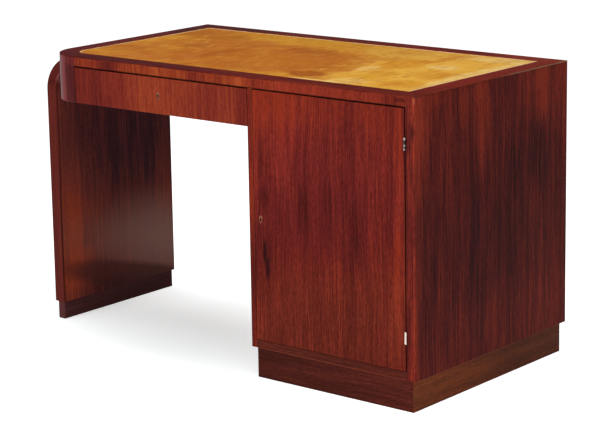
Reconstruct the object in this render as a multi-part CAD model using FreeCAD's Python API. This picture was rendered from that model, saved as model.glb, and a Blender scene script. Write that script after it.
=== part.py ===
import FreeCAD, Part
import math
import os

# Single-pedestal writing desk: leather-lined top, one drawer, a cupboard,
# and a slab leg outside its left end.
# Millimetres. X runs along the desk to the right, the front faces -Y, Z is up and the floor is Z = 0.
# X = 0 and Y = 0 are the middle of everything: leg and top along X, back and hinge knuckles along Y.

# Whole desk
desk_height = 750.0
top_length = 1200.0
desk_depth = 640.0
cut_overrun = 1.0
plane_tolerance = 0.0001

# Top
top_thickness = 26.0
border_thickness = 3.0
border_width = 52.0
border_arris = 1.2
corner_radius = 100.0
leather_drop = 0.8
leather_gap = 0.2

# Case of the drawer, under the top
case_wall = 20.0
case_height = 121.0
case_arris = 0.8
cheek_thickness = 12.0
soffit_thickness = 8.0

# Pedestal
pedestal_width = 500.0
side_left_thickness = 16.0
side_right_thickness = 25.0
side_arris = 1.2
pedestal_back_thickness = 18.0
pedestal_bottom_thickness = 20.0
shelf_thickness = 18.0
shelf_count = 2
shelf_setback = 45.0
shelf_end_gap = 0.4
bearer_width = 12.0
bearer_height = 18.0
bearer_setback = 30.0

# Plinth of the pedestal
plinth_height = 78.0
plinth_side_inset = 12.0
plinth_front_inset = 8.0
plinth_board = 18.0
plinth_block_size = 34.0
plinth_block_height = 62.0

# Slab leg
leg_gap = 50.0
leg_thickness = 35.0
leg_front_setback = 88.0
leg_back_setback = 112.0
leg_top_drop = 41.0
leg_corner_radius = 75.0
leg_arris = 1.2
leg_foot_height = 49.0
leg_foot_inset = 6.0
spacer_setback = 60.0
spacer_height = 64.0
spacer_lift = 12.0
leg_bolt_radius = 5.0
leg_bolt_grip = 24.0
leg_bolt_head_radius = 10.0
leg_bolt_head_height = 5.5
leg_bolt_rows = 2
leg_bolt_columns = 2

# Drawer
drawer_side_gap = 1.0
drawer_top_gap = 3.0
drawer_back_space = 80.0
drawer_front_thickness = 20.0
drawer_front_lap = 6.0
drawer_arris = 0.8
drawer_wall = 12.0
drawer_side_lift = 14.0
drawer_bottom_thickness = 6.0
drawer_bottom_lift = 6.0
drawer_groove = 6.0
drawer_back_drop = 6.0
runner_width = 20.0
runner_height = 12.0
kicker_height = 10.0
slide_clearance = 0.3
stop_length = 24.0
stop_height = 18.0
tail_count = 3
tail_base_share = 0.52
tail_slope_share = 0.16

# Door
door_left_gap = 1.0
door_top_gap = 3.0
door_bottom_gap = 1.0
door_hinge_gap = 3.5
door_thickness = 20.0
door_arris = 0.8

# Butt hinges of the door
hinge_length = 27.0
hinge_end_distance = 82.0
hinge_proud = 1.0
knuckle_radius = 3.0
knuckle_share = 1.0 / 3.0
knuckle_end_gap = 0.25
knuckle_clearance = 0.4
hinge_pin_radius = 1.5
hinge_pin_clearance = 0.05
hinge_pin_head_radius = 2.6
hinge_pin_head_height = 1.2
leaf_thickness = 1.6
leaf_spacing = 1.2
leaf_width = 17.0

# Countersunk wood screws of hinges and locks
screw_head_radius = 2.6
screw_head_height = 1.4
screw_shank_radius = 1.3
screw_length = 13.0
lock_screw_length = 8.0

# Locks, alike on the drawer and the door
lock_plate_thickness = 1.5
lock_plate_margin = 7.0
lock_case_depth = 9.0
lock_case_width = 44.0
lock_case_tail = 11.0
bolt_width = 22.0
bolt_thickness = 5.0
bolt_length = 14.0
bolt_throw = 8.0
bolt_clearance = 0.3
bolt_sink = 0.2
strike_thickness = 1.5
strike_margin = 6.0
strike_side_margin = 3.0
strike_clearance = 0.7
strike_end_room = 2.0

# Escutcheons and keyholes
escutcheon_height = 18.0
escutcheon_upper_radius = 5.0
escutcheon_lower_radius = 3.2
escutcheon_thickness = 2.0
escutcheon_proud = 0.4
keyhole_radius = 2.4
keyhole_slot_width = 2.2
keyhole_rise = 2.6
keyhole_slot_drop = 8.2
key_pin_radius = 1.0
door_key_backset = 20.0
door_key_drop = 6.0

# Planes worked out from the sizes above
overall_length = top_length + leg_gap + leg_thickness
x_right = overall_length / 2
x_left = x_right - top_length
hinge_reach = hinge_proud + knuckle_radius
y_front = (hinge_reach - desk_depth) / 2
y_back = y_front + desk_depth
z_border = desk_height - border_thickness
z_case_top = desk_height - top_thickness
z_case_bottom = desk_height - case_height
x_pedestal = x_right - pedestal_width
x_cupboard_left = x_pedestal + side_left_thickness
x_cupboard_right = x_right - side_right_thickness
y_cupboard_back = y_back - pedestal_back_thickness
z_cupboard_floor = plinth_height + pedestal_bottom_thickness
post_length = corner_radius + cheek_thickness
x_opening_left = x_left + post_length
core_radius = corner_radius - case_wall

# Drawer box
x_drawer_left = x_opening_left + drawer_side_gap
x_drawer_right = x_pedestal - drawer_side_gap
x_drawer_middle = (x_drawer_left + x_drawer_right) / 2
y_drawer_inner = y_front + drawer_front_thickness
y_drawer_end = y_back - drawer_back_space
z_drawer_top = z_case_top - drawer_top_gap
z_drawer_middle = (z_case_bottom + z_drawer_top) / 2
z_side_bottom = z_case_bottom + drawer_side_lift
z_side_top = z_case_top - kicker_height - slide_clearance
z_bottom_low = z_side_bottom + drawer_bottom_lift
z_bottom_high = z_bottom_low + drawer_bottom_thickness
z_drawer_back_top = z_side_top - drawer_back_drop

# Door and its hinge axis
x_door_left = x_cupboard_left + door_left_gap
x_door_right = x_cupboard_right - door_hinge_gap
x_hinge = x_door_right + door_hinge_gap / 2
y_hinge = y_front - hinge_proud
y_door_inner = y_front + door_thickness
z_door_bottom = z_cupboard_floor + door_bottom_gap
z_door_top = z_case_top - door_top_gap
z_door_key = (z_door_bottom + z_door_top) / 2 - door_key_drop
x_door_key = x_door_left + door_key_backset
strike_depth = bolt_throw + strike_end_room


def vector(x, y, z):
    return FreeCAD.Vector(x, y, z)


def block(x_span, y_span, z_span):
    """Rectangular piece between a low and a high value along each axis."""
    sizes = [span[1] - span[0] for span in (x_span, y_span, z_span)]
    return Part.makeBox(*sizes, vector(x_span[0], y_span[0], z_span[0]))


def around(middle, half):
    """Span of twice the half width about a middle value."""
    return (middle - half, middle + half)


def plan_prism(points, z_span):
    """Upright piece with the given outline in plan."""
    wire = closed_wire(points, lambda a, b: vector(a, b, z_span[0]))
    return Part.Face(wire).extrude(vector(0, 0, z_span[1] - z_span[0]))


def side_prism(points, x_span):
    """Piece with the given outline in the YZ plane, along X."""
    wire = closed_wire(points, lambda a, b: vector(x_span[0], a, b))
    return Part.Face(wire).extrude(vector(x_span[1] - x_span[0], 0, 0))


def front_prism(points, y_span):
    """Piece with the given outline in the XZ plane, along Y."""
    wire = closed_wire(points, lambda a, b: vector(a, y_span[0], b))
    return Part.Face(wire).extrude(vector(0, y_span[1] - y_span[0], 0))


def closed_wire(outline, place):
    """Closed wire through corner points; a corner of four values ends an arc through its last two."""
    edges = []
    last = place(*outline[-1][:2])
    for corner in outline:
        point = place(*corner[:2])
        if len(corner) > 2:
            edges.append(Part.Arc(last, place(*corner[2:]), point).toShape())
        elif last.distanceToPoint(point) > plane_tolerance:
            edges.append(Part.LineSegment(last, point).toShape())
        last = point
    return Part.Wire(edges)


def arc_corner(centre, radius, middle_degrees, end_degrees):
    """Corner reached by an arc about a centre: its end point, then the point halfway along the arc."""
    points = []
    for degrees in (end_degrees, middle_degrees):
        angle = math.radians(degrees)
        points.append(centre[0] + radius * math.cos(angle))
        points.append(centre[1] + radius * math.sin(angle))
    return tuple(points)


def picked_edges(shape, keep):
    """Edges whose end points all pass the keep test."""
    return [edge for edge in shape.Edges if all(keep(vertex.Point) for vertex in edge.Vertexes)]


def soften(shape, radius, keep):
    """Round the picked edges."""
    return shape.makeFillet(radius, picked_edges(shape, keep))


def ease(shape, width, keep):
    """Plane a small bevel along the picked edges."""
    return shape.makeChamfer(width, picked_edges(shape, keep))


def near(value, target):
    """True where a coordinate lies on a plane."""
    return abs(value - target) < plane_tolerance


def revolved(profile, base, direction):
    """Turned piece: (radius, height) pairs about an axis that starts at base and runs along direction."""
    points = [vector(radius, 0, height) for radius, height in profile]
    wire = Part.makePolygon(points + points[:1])
    solid = Part.Face(wire).revolve(vector(0, 0, 0), vector(0, 0, 1), 360)
    turn = FreeCAD.Rotation(vector(0, 0, 1), direction)
    solid.Placement = FreeCAD.Placement(base, turn)
    return solid


def countersunk_screw(base, direction, length):
    """Wood screw with its head's flat at base, driven along direction."""
    profile = [(0, 0), (screw_head_radius, 0), (screw_shank_radius, screw_head_height),
               (screw_shank_radius, length), (0, length)]
    return revolved(profile, base, direction)


def keyhole(x, z, y_span):
    """Round hole with a slot below it, along Y, for an escutcheon centred at x, z."""
    z_round = z + keyhole_rise
    base = vector(x, y_span[0], z_round)
    hole = Part.makeCylinder(keyhole_radius, y_span[1] - y_span[0], base, vector(0, 1, 0))
    slot = block(around(x, keyhole_slot_width / 2), y_span, (z_round - keyhole_slot_drop, z_round))
    return hole.fuse(slot).removeSplitter()


def pear(x, z, y_span):
    """Escutcheon outline: a larger round above a smaller one, joined by their tangents."""
    z_upper = z + escutcheon_height / 2 - escutcheon_upper_radius
    z_lower = z - escutcheon_height / 2 + escutcheon_lower_radius
    lean = math.asin((escutcheon_upper_radius - escutcheon_lower_radius) / (z_upper - z_lower))
    across, up = math.cos(lean), math.sin(lean)
    upper = (escutcheon_upper_radius * across, z_upper + escutcheon_upper_radius * up)
    lower = (escutcheon_lower_radius * across, z_lower + escutcheon_lower_radius * up)
    outline = [(x + lower[0], lower[1], x, z_lower - escutcheon_lower_radius), (x + upper[0], upper[1]),
               (x - upper[0], upper[1], x, z_upper + escutcheon_upper_radius), (x - lower[0], lower[1])]
    return front_prism(outline, y_span)


def escutcheon(x, z):
    """Brass keyhole plate let into the front face, with its keyhole."""
    y_span = (y_front - escutcheon_proud, y_front - escutcheon_proud + escutcheon_thickness)
    cutter = (y_span[0] - cut_overrun, y_span[1] + cut_overrun)
    return pear(x, z, y_span).cut(keyhole(x, z, cutter))


def escutcheon_recess(x, z):
    """Room in a front for the escutcheon's plate."""
    return pear(x, z, (y_front - cut_overrun, y_front - escutcheon_proud + escutcheon_thickness))


def case_plan(x_span, y_span, radius):
    """Rectangle in plan whose front left corner is rounded."""
    centre = (x_span[0] + radius, y_span[0] + radius)
    return [(x_span[1], y_span[0]), (x_span[1], y_span[1]), (x_span[0], y_span[1]),
            (x_span[0], centre[1]), arc_corner(centre, radius, 225, 270)]


def make_top():
    """Core, border strips round it, leather inset, and the rails at its front and back edges."""
    z_core = (z_case_top, z_border)
    z_strip = (z_border, desk_height)
    x_core = (x_left + case_wall, x_cupboard_right)
    y_core = (y_front + case_wall, y_back - case_wall)
    x_inner = (x_left + border_width, x_right - border_width)
    y_inner = (y_front + border_width, y_back - border_width)
    centre = (x_left + corner_radius, y_front + corner_radius)
    inner_radius = corner_radius - border_width

    strips = {
        "border_front": [(centre[0], y_front), (x_right, y_front),
                         (x_inner[1], y_inner[0]), (centre[0], y_inner[0])],
        "border_right": [(x_right, y_front), (x_right, y_back),
                         (x_inner[1], y_inner[1]), (x_inner[1], y_inner[0])],
        "border_back": [(x_right, y_back), (x_left, y_back),
                        (x_inner[0], y_inner[1]), (x_inner[1], y_inner[1])],
        "border_left": [(x_left, y_back), (x_left, centre[1]),
                        (x_inner[0], centre[1]), (x_inner[0], y_inner[1])],
        "border_corner": [(x_left, centre[1]), arc_corner(centre, corner_radius, 225, 270),
                          (centre[0], y_inner[0]), arc_corner(centre, inner_radius, 225, 180)],
    }
    pieces = {}
    for name, plan in strips.items():
        outer = [plan[0][:2], plan[1][:2]]
        pieces[name] = soften(plan_prism(plan, z_strip), border_arris, on_edge(outer))

    x_leather = (x_inner[0] + leather_gap, x_inner[1] - leather_gap)
    y_leather = (y_inner[0] + leather_gap, y_inner[1] - leather_gap)
    leather = case_plan(x_leather, y_leather, inner_radius - leather_gap)
    pieces["leather_inset"] = plan_prism(leather, (z_border, desk_height - leather_drop))
    pieces["top_core"] = plan_prism(case_plan(x_core, y_core, core_radius), z_core)

    rail = block((x_opening_left, x_cupboard_right), (y_front, y_front + case_wall), z_core)
    pieces["frieze_rail"] = rail.cut(drawer_strike_recess())
    pieces["back_rail"] = block(x_core, (y_back - case_wall, y_back), z_core)
    return pieces


def on_edge(ends):
    """Test for the top edge between two plan points."""
    def keep(point):
        at_end = any(near(point.x, x) and near(point.y, y) for x, y in ends)
        return at_end and near(point.z, desk_height)
    return keep


def make_case():
    """Bent corner post, end panel, apron, cheek and soffit, with the drawer's runners, kickers and stops."""
    z_tall = (z_case_bottom, z_border)
    z_case = (z_case_bottom, z_case_top)
    y_inside = (y_front + case_wall, y_back - case_wall)
    x_cheek = (x_opening_left - cheek_thickness, x_opening_left)
    centre = (x_left + corner_radius, y_front + corner_radius)

    post = plan_prism([(x_opening_left, y_front), (x_opening_left, y_inside[0]), (centre[0], y_inside[0]),
                       arc_corner(centre, core_radius, 225, 180), (x_left, centre[1]),
                       arc_corner(centre, corner_radius, 225, 270)], z_tall)
    outer_low = [(x_left, centre[1]), (centre[0], y_front), (x_opening_left, y_front)]
    post = ease(post, case_arris, lambda p: near(p.z, z_case_bottom) and
                any(near(p.x, x) and near(p.y, y) for x, y in outer_low))

    end_panel = block((x_left, x_left + case_wall), (centre[1], y_back), z_tall)
    end_panel = soften(end_panel, case_arris, lambda p: near(p.x, x_left) and
                       (near(p.z, z_case_bottom) or near(p.y, y_back)) and not near(p.z, z_border)
                       or near(p.x, x_left) and near(p.y, y_back))
    pieces = {
        "corner_post": post,
        "end_panel": end_panel.cut(Part.makeCompound(leg_bolts())),
        "back_apron": block((x_left + case_wall, x_pedestal), (y_back - case_wall, y_back), z_case),
        "drawer_cheek": block(x_cheek, y_inside, z_case),
        "end_soffit": plan_prism(case_plan((x_left + case_wall, x_cheek[0]), y_inside, core_radius),
                                 (z_case_bottom, z_case_bottom + soffit_thickness)),
    }

    y_run = (y_drawer_inner + drawer_side_gap, y_inside[1])
    z_run_top = z_side_bottom - slide_clearance
    stops = []
    for hand, x_span in (("left", (x_opening_left, x_opening_left + runner_width)),
                         ("right", (x_pedestal - runner_width, x_pedestal))):
        pieces["drawer_runner_" + hand] = block(x_span, y_run, (z_run_top - runner_height, z_run_top))
        pieces["drawer_kicker_" + hand] = block(x_span, y_run, (z_case_top - kicker_height, z_case_top))
        y_stop = y_drawer_end + slide_clearance
        stops.append(block(x_span, (y_stop, y_stop + stop_length), (z_run_top, z_run_top + stop_height)))
    pieces["drawer_stops"] = Part.makeCompound(stops)
    pieces["drawer_strike"] = drawer_strike()
    return pieces


def dovetails(z_span, y_base, y_tip, x_span):
    """Tails of a drawer side between two heights, each wider at its tip than at its base."""
    pitch = (z_span[1] - z_span[0]) / tail_count
    half_base = pitch * tail_base_share / 2
    half_tip = half_base + abs(y_tip - y_base) * tail_slope_share
    tails = []
    for index in range(tail_count):
        middle = z_span[0] + pitch * (index + 0.5)
        tails.append(side_prism([(y_base, middle - half_base), (y_tip, middle - half_tip),
                                 (y_tip, middle + half_tip), (y_base, middle + half_base)], x_span))
    return tails


def make_drawer():
    """Drawer box with lapped dovetails in front, through dovetails behind, and its lock."""
    z_front = (z_case_bottom, z_drawer_top)
    z_side = (z_side_bottom, z_side_top)
    z_back = (z_bottom_high, z_drawer_back_top)
    z_bottom = (z_bottom_low, z_bottom_high)
    y_back_board = (y_drawer_end - drawer_wall, y_drawer_end)
    x_walls = {"left": (x_drawer_left, x_drawer_left + drawer_wall),
               "right": (x_drawer_right - drawer_wall, x_drawer_right)}
    x_inside = (x_walls["left"][1], x_walls["right"][0])

    front = block((x_drawer_left, x_drawer_right), (y_front, y_drawer_inner), z_front)
    front = soften(front, drawer_arris, lambda p: near(p.y, y_front))
    back = block((x_drawer_left, x_drawer_right), y_back_board, z_back)
    x_groove = (x_inside[0] - drawer_groove, x_inside[1] + drawer_groove)
    y_groove = y_drawer_inner - drawer_groove
    bottom = plan_prism([(x_inside[0], y_groove), (x_inside[1], y_groove),
                         (x_inside[1], y_drawer_inner), (x_groove[1], y_drawer_inner),
                         (x_groove[1], y_drawer_end), (x_groove[0], y_drawer_end),
                         (x_groove[0], y_drawer_inner), (x_inside[0], y_drawer_inner)], z_bottom)
    pieces = {}
    for hand, x_span in x_walls.items():
        front_tails = dovetails(z_side, y_drawer_inner, y_front + drawer_front_lap, x_span)
        back_tails = dovetails(z_back, y_back_board[0], y_back_board[1], x_span)
        side = block(x_span, (y_drawer_inner, y_drawer_end), z_side)
        side = side.cut(block(x_span, y_back_board, z_back))
        side = side.fuse(front_tails + back_tails).removeSplitter()
        pieces["drawer_side_" + hand] = side.cut(bottom)
        front = front.cut(front_tails)
        back = back.cut(back_tails)

    z_key = z_drawer_middle
    front = front.cut([bottom, escutcheon_recess(x_drawer_middle, z_key), drawer_lock_body(),
                       keyhole(x_drawer_middle, z_key, (y_front, y_drawer_inner)),
                       Part.makeCompound(drawer_lock_screws())])
    pieces["drawer_front"] = front
    pieces["drawer_back"] = back
    pieces["drawer_bottom"] = bottom
    pieces["drawer_escutcheon"] = escutcheon(x_drawer_middle, z_key)
    case = drawer_lock_body().cut([drawer_bolt(bolt_clearance, cut_overrun),
                                   lock_key_room(x_drawer_middle, z_key, y_drawer_inner)])
    pieces["drawer_lock_case"] = case.cut(Part.makeCompound(drawer_lock_screws()))
    pieces["drawer_lock_bolt"] = drawer_bolt(0, 0)
    pieces["drawer_lock_screws"] = Part.makeCompound(drawer_lock_screws())
    return pieces


def lock_key_room(x, z, y_inner):
    """Keyhole in a lock's case, with the pin that the key turns on left standing in it."""
    depth = (y_inner - lock_case_depth - cut_overrun, y_inner - lock_plate_thickness)
    base = vector(x, depth[0], z + keyhole_rise)
    pin = Part.makeCylinder(key_pin_radius, depth[1] - depth[0], base, vector(0, 1, 0))
    return keyhole(x, z, depth).cut(pin)


def drawer_lock_body():
    """Case, plate and top edge plate of the drawer lock, before its bolt and keyhole are cut."""
    half = lock_case_width / 2
    y_case = (y_drawer_inner - lock_case_depth, y_drawer_inner)
    z_low = z_drawer_middle - lock_case_tail
    case = block(around(x_drawer_middle, half), y_case, (z_low, z_drawer_top))
    wide = around(x_drawer_middle, half + lock_plate_margin)
    plate = block(wide, (y_drawer_inner, y_drawer_inner + lock_plate_thickness),
                  (z_low - lock_plate_margin, z_drawer_top))
    edge = block(wide, (y_case[0], y_drawer_inner + lock_plate_thickness),
                 (z_drawer_top - lock_plate_thickness, z_drawer_top))
    return case.fuse([plate, edge]).removeSplitter()


def drawer_bolt(clearance, overrun):
    """Bolt of the drawer lock, drawn back; a clearance and an overrun make the room that it slides in."""
    y_middle = y_drawer_inner - lock_case_depth / 2
    z_high = z_drawer_top - bolt_sink
    return block(around(x_drawer_middle, bolt_width / 2 + clearance),
                 around(y_middle, bolt_thickness / 2 + clearance),
                 (z_high - bolt_length - clearance, z_high + overrun))


def drawer_lock_screws():
    """Screws through the margins of the drawer lock's plate."""
    offset = lock_case_width / 2 + lock_plate_margin / 2
    y_head = y_drawer_inner + lock_plate_thickness
    heads = [vector(x_drawer_middle + side * offset, y_head, z_drawer_middle) for side in (-1, 1)]
    return [countersunk_screw(head, vector(0, -1, 0), lock_screw_length) for head in heads]


def drawer_strike_recess():
    """Room in the frieze rail for the strike plate and, above it, for the thrown bolt."""
    y_middle = y_drawer_inner - lock_case_depth / 2
    plate = block(around(x_drawer_middle, bolt_width / 2 + strike_margin),
                  (y_middle - bolt_thickness / 2 - strike_side_margin, y_front + case_wall),
                  (z_case_top - cut_overrun, z_case_top + strike_thickness))
    room = block(around(x_drawer_middle, bolt_width / 2 + strike_clearance),
                 around(y_middle, bolt_thickness / 2 + strike_clearance),
                 (z_case_top, z_case_top + strike_depth))
    return plate.fuse(room)


def drawer_strike():
    """Brass plate let into the frieze rail's lower face, with the bolt's slot."""
    y_middle = y_drawer_inner - lock_case_depth / 2
    plate = block(around(x_drawer_middle, bolt_width / 2 + strike_margin),
                  (y_middle - bolt_thickness / 2 - strike_side_margin, y_front + case_wall),
                  (z_case_top, z_case_top + strike_thickness))
    slot = block(around(x_drawer_middle, bolt_width / 2 + strike_clearance),
                 around(y_middle, bolt_thickness / 2 + strike_clearance),
                 (z_case_top - cut_overrun, z_case_top + strike_thickness + cut_overrun))
    return plate.cut(slot)


def make_pedestal():
    """Carcase of the cupboard with its shelves and their bearers."""
    x_inside = (x_cupboard_left, x_cupboard_right)
    z_side = (plinth_height, z_case_top)
    side_left = block((x_pedestal, x_cupboard_left), (y_front, y_back), z_side)
    side_left = soften(side_left, case_arris, lambda p: near(p.x, x_pedestal) and near(p.y, y_front))
    side_right = block((x_cupboard_right, x_right), (y_front, y_back), (plinth_height, z_border))
    side_right = soften(side_right, side_arris, lambda p: near(p.x, x_right) and not near(p.z, z_border)
                        or near(p.x, x_right) and (near(p.y, y_front) or near(p.y, y_back)))
    cuts = []
    for middle in hinge_heights():
        cuts += [hinge_barrel_room(middle), leaf_plate(middle, 1)]
    cuts += hinge_screws(1)

    pieces = {
        "pedestal_side_left": side_left.cut(door_strike_recess()),
        "pedestal_side_right": side_right.cut(cuts),
        "pedestal_back": block(x_inside, (y_cupboard_back, y_back), z_side),
        "pedestal_bottom": block(x_inside, (y_front, y_cupboard_back), (plinth_height, z_cupboard_floor)),
        "door_strike": door_strike(),
    }
    bearers = []
    space = (z_case_top - z_cupboard_floor - shelf_count * shelf_thickness) / (shelf_count + 1)
    names = ["shelf_lower", "shelf_upper"]
    if len(names) != shelf_count:
        names = ["shelf_%d" % (number + 1) for number in range(shelf_count)]
    for index, name in enumerate(names):
        z_low = z_cupboard_floor + (index + 1) * space + index * shelf_thickness
        pieces[name] = block((x_inside[0] + shelf_end_gap, x_inside[1] - shelf_end_gap),
                             (y_front + shelf_setback, y_cupboard_back - shelf_end_gap),
                             (z_low, z_low + shelf_thickness))
        y_bearer = (y_front + shelf_setback + bearer_setback, y_cupboard_back)
        for x_span in ((x_inside[0], x_inside[0] + bearer_width),
                       (x_inside[1] - bearer_width, x_inside[1])):
            bearers.append(block(x_span, y_bearer, (z_low - bearer_height, z_low)))
    pieces["shelf_bearers"] = Part.makeCompound(bearers)
    return pieces


def make_door():
    """Door panel with its lock."""
    panel = block((x_door_left, x_door_right), (y_front, y_door_inner), (z_door_bottom, z_door_top))
    panel = soften(panel, door_arris, lambda p: near(p.y, y_front))
    cuts = [escutcheon_recess(x_door_key, z_door_key), door_lock_body(),
            keyhole(x_door_key, z_door_key, (y_front, y_door_inner))]
    cuts += door_lock_screws() + hinge_screws(-1)
    for middle in hinge_heights():
        cuts += [hinge_barrel_room(middle), leaf_plate(middle, -1)]
    case = door_lock_body().cut([door_bolt(bolt_clearance, cut_overrun),
                                 lock_key_room(x_door_key, z_door_key, y_door_inner)])
    return {
        "door_panel": panel.cut(cuts),
        "door_escutcheon": escutcheon(x_door_key, z_door_key),
        "door_lock_case": case.cut(Part.makeCompound(door_lock_screws())),
        "door_lock_bolt": door_bolt(0, 0),
        "door_lock_screws": Part.makeCompound(door_lock_screws()),
    }


def door_lock_body():
    """Case, plate and edge plate of the door lock, before its bolt and keyhole are cut."""
    half = lock_case_width / 2
    y_case = (y_door_inner - lock_case_depth, y_door_inner)
    x_far = x_door_key + lock_case_tail
    case = block((x_door_left, x_far), y_case, around(z_door_key, half))
    tall = around(z_door_key, half + lock_plate_margin)
    plate = block((x_door_left, x_far + lock_plate_margin),
                  (y_door_inner, y_door_inner + lock_plate_thickness), tall)
    edge = block((x_door_left, x_door_left + lock_plate_thickness),
                 (y_case[0], y_door_inner + lock_plate_thickness), tall)
    return case.fuse([plate, edge]).removeSplitter()


def door_bolt(clearance, overrun):
    """Bolt of the door lock, drawn back; a clearance and an overrun make the room that it slides in."""
    y_middle = y_door_inner - lock_case_depth / 2
    x_low = x_door_left + bolt_sink
    return block((x_low - overrun, x_low + bolt_length + clearance),
                 around(y_middle, bolt_thickness / 2 + clearance),
                 around(z_door_key, bolt_width / 2 + clearance))


def door_lock_screws():
    """Screws through the margins of the door lock's plate."""
    offset = lock_case_width / 2 + lock_plate_margin / 2
    y_head = y_door_inner + lock_plate_thickness
    heads = [vector(x_door_key, y_head, z_door_key + side * offset) for side in (-1, 1)]
    return [countersunk_screw(head, vector(0, -1, 0), lock_screw_length) for head in heads]


def door_strike_room(x_span):
    """Slot for the thrown bolt of the door lock, over a span along X."""
    y_middle = y_door_inner - lock_case_depth / 2
    return block(x_span, around(y_middle, bolt_thickness / 2 + strike_clearance),
                 around(z_door_key, bolt_width / 2 + strike_clearance))


def door_strike_plate(x_span):
    """Outline of the door lock's strike plate, over a span along X."""
    y_middle = y_door_inner - lock_case_depth / 2
    return block(x_span, around(y_middle, bolt_thickness / 2 + strike_side_margin),
                 around(z_door_key, bolt_width / 2 + strike_margin))


def door_strike_recess():
    """Room in the pedestal's left side for the strike plate and, behind it, for the thrown bolt."""
    plate = door_strike_plate((x_cupboard_left - strike_thickness, x_cupboard_left + cut_overrun))
    return plate.fuse(door_strike_room((x_cupboard_left - strike_depth, x_cupboard_left)))


def door_strike():
    """Brass plate let into the pedestal's left side, with the bolt's slot."""
    plate = door_strike_plate((x_cupboard_left - strike_thickness, x_cupboard_left))
    slot = (x_cupboard_left - strike_thickness - cut_overrun, x_cupboard_left + cut_overrun)
    return plate.cut(door_strike_room(slot))


def hinge_heights():
    """Middle heights of the lower and the upper hinge."""
    return (z_door_bottom + hinge_end_distance, z_door_top - hinge_end_distance)


def hinge_rod(radius, z_span):
    """Cylinder on the hinge axis between two heights."""
    return Part.makeCylinder(radius, z_span[1] - z_span[0], vector(x_hinge, y_hinge, z_span[0]))


def hinge_barrel_room(middle):
    """Room in the wood for a hinge's knuckles and pin heads."""
    reach = hinge_length / 2 + hinge_pin_head_height + knuckle_clearance
    return hinge_rod(knuckle_radius + knuckle_clearance, around(middle, reach))


def leaf_plate(middle, hand):
    """Plate of a leaf beside the hinge axis: hand 1 on the pedestal's side, -1 on the door's."""
    near_face = x_hinge + hand * leaf_spacing / 2
    far_face = near_face + hand * leaf_thickness
    x_span = sorted((near_face, far_face))
    return block(x_span, (y_hinge, y_front + leaf_width), around(middle, hinge_length / 2))


def hinge_screws(hand):
    """Two screws in each leaf on one side of both hinges."""
    x_head = x_hinge + hand * leaf_spacing / 2
    y_screw = y_front + (leaf_width + knuckle_radius) / 2
    reach = hinge_length * knuckle_share
    heads = [vector(x_head, y_screw, middle + side * reach) for middle in hinge_heights() for side in (-1, 1)]
    return [countersunk_screw(head, vector(hand, 0, 0), screw_length) for head in heads]


def make_hinges():
    """Two butt hinges: the pedestal's leaf has the outer knuckles, the door's leaf the middle one."""
    pieces = {}
    for name, middle in zip(("hinge_lower", "hinge_upper"), hinge_heights()):
        z_whole = around(middle, hinge_length / 2)
        half_knuckle = hinge_length * knuckle_share / 2
        z_middle = around(middle, half_knuckle)
        z_outer = [(z_whole[0], z_middle[0]), (z_middle[1], z_whole[1])]
        bore = hinge_rod(hinge_pin_radius + hinge_pin_clearance, around(middle, hinge_length))
        swing_radius = knuckle_radius + knuckle_clearance

        frame_leaf = leaf_plate(middle, 1).cut(hinge_rod(swing_radius, z_middle))
        frame_leaf = frame_leaf.fuse([hinge_rod(knuckle_radius, span) for span in z_outer]).removeSplitter()
        pieces[name + "_frame_leaf"] = frame_leaf.cut([bore] + hinge_screws(1))

        z_door_knuckle = around(middle, half_knuckle - knuckle_end_gap)
        swing_rooms = [hinge_rod(swing_radius, (z_whole[0] - cut_overrun, z_door_knuckle[0])),
                       hinge_rod(swing_radius, (z_door_knuckle[1], z_whole[1] + cut_overrun))]
        door_leaf = leaf_plate(middle, -1).cut(swing_rooms)
        door_leaf = door_leaf.fuse(hinge_rod(knuckle_radius, z_door_knuckle)).removeSplitter()
        pieces[name + "_door_leaf"] = door_leaf.cut([bore] + hinge_screws(-1))

        heads = [hinge_rod(hinge_pin_head_radius, (z_whole[1], z_whole[1] + hinge_pin_head_height)),
                 hinge_rod(hinge_pin_head_radius, (z_whole[0] - hinge_pin_head_height, z_whole[0]))]
        pieces[name + "_pin"] = hinge_rod(hinge_pin_radius, z_whole).fuse(heads).removeSplitter()
    pieces["hinge_frame_screws"] = Part.makeCompound(hinge_screws(1))
    pieces["hinge_door_screws"] = Part.makeCompound(hinge_screws(-1))
    return pieces


def make_plinth():
    """Four mitred boards under the pedestal, set back from its faces, with glue blocks in their corners."""
    outer_x = (x_pedestal + plinth_side_inset, x_right - plinth_side_inset)
    outer_y = (y_front + plinth_front_inset, y_back - plinth_front_inset)
    inner_x = (outer_x[0] + plinth_board, outer_x[1] - plinth_board)
    inner_y = (outer_y[0] + plinth_board, outer_y[1] - plinth_board)
    turns = ((0, 0), (1, 0), (1, 1), (0, 1))
    outer = [(outer_x[side], outer_y[end]) for side, end in turns]
    inner = [(inner_x[side], inner_y[end]) for side, end in turns]
    pieces = {}
    for index, name in enumerate(("plinth_front", "plinth_right", "plinth_back", "plinth_left")):
        after = (index + 1) % len(outer)
        plan = [outer[index], outer[after], inner[after], inner[index]]
        pieces[name] = plan_prism(plan, (0, plinth_height))

    blocks = []
    for corner_x, step_x in ((inner_x[0], 1), (inner_x[1], -1)):
        for corner_y, step_y in ((inner_y[0], 1), (inner_y[1], -1)):
            plan = [(corner_x, corner_y), (corner_x + step_x * plinth_block_size, corner_y),
                    (corner_x, corner_y + step_y * plinth_block_size)]
            blocks.append(plan_prism(plan, (plinth_height - plinth_block_height, plinth_height)))
    pieces["plinth_blocks"] = Part.makeCompound(blocks)
    return pieces


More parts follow.
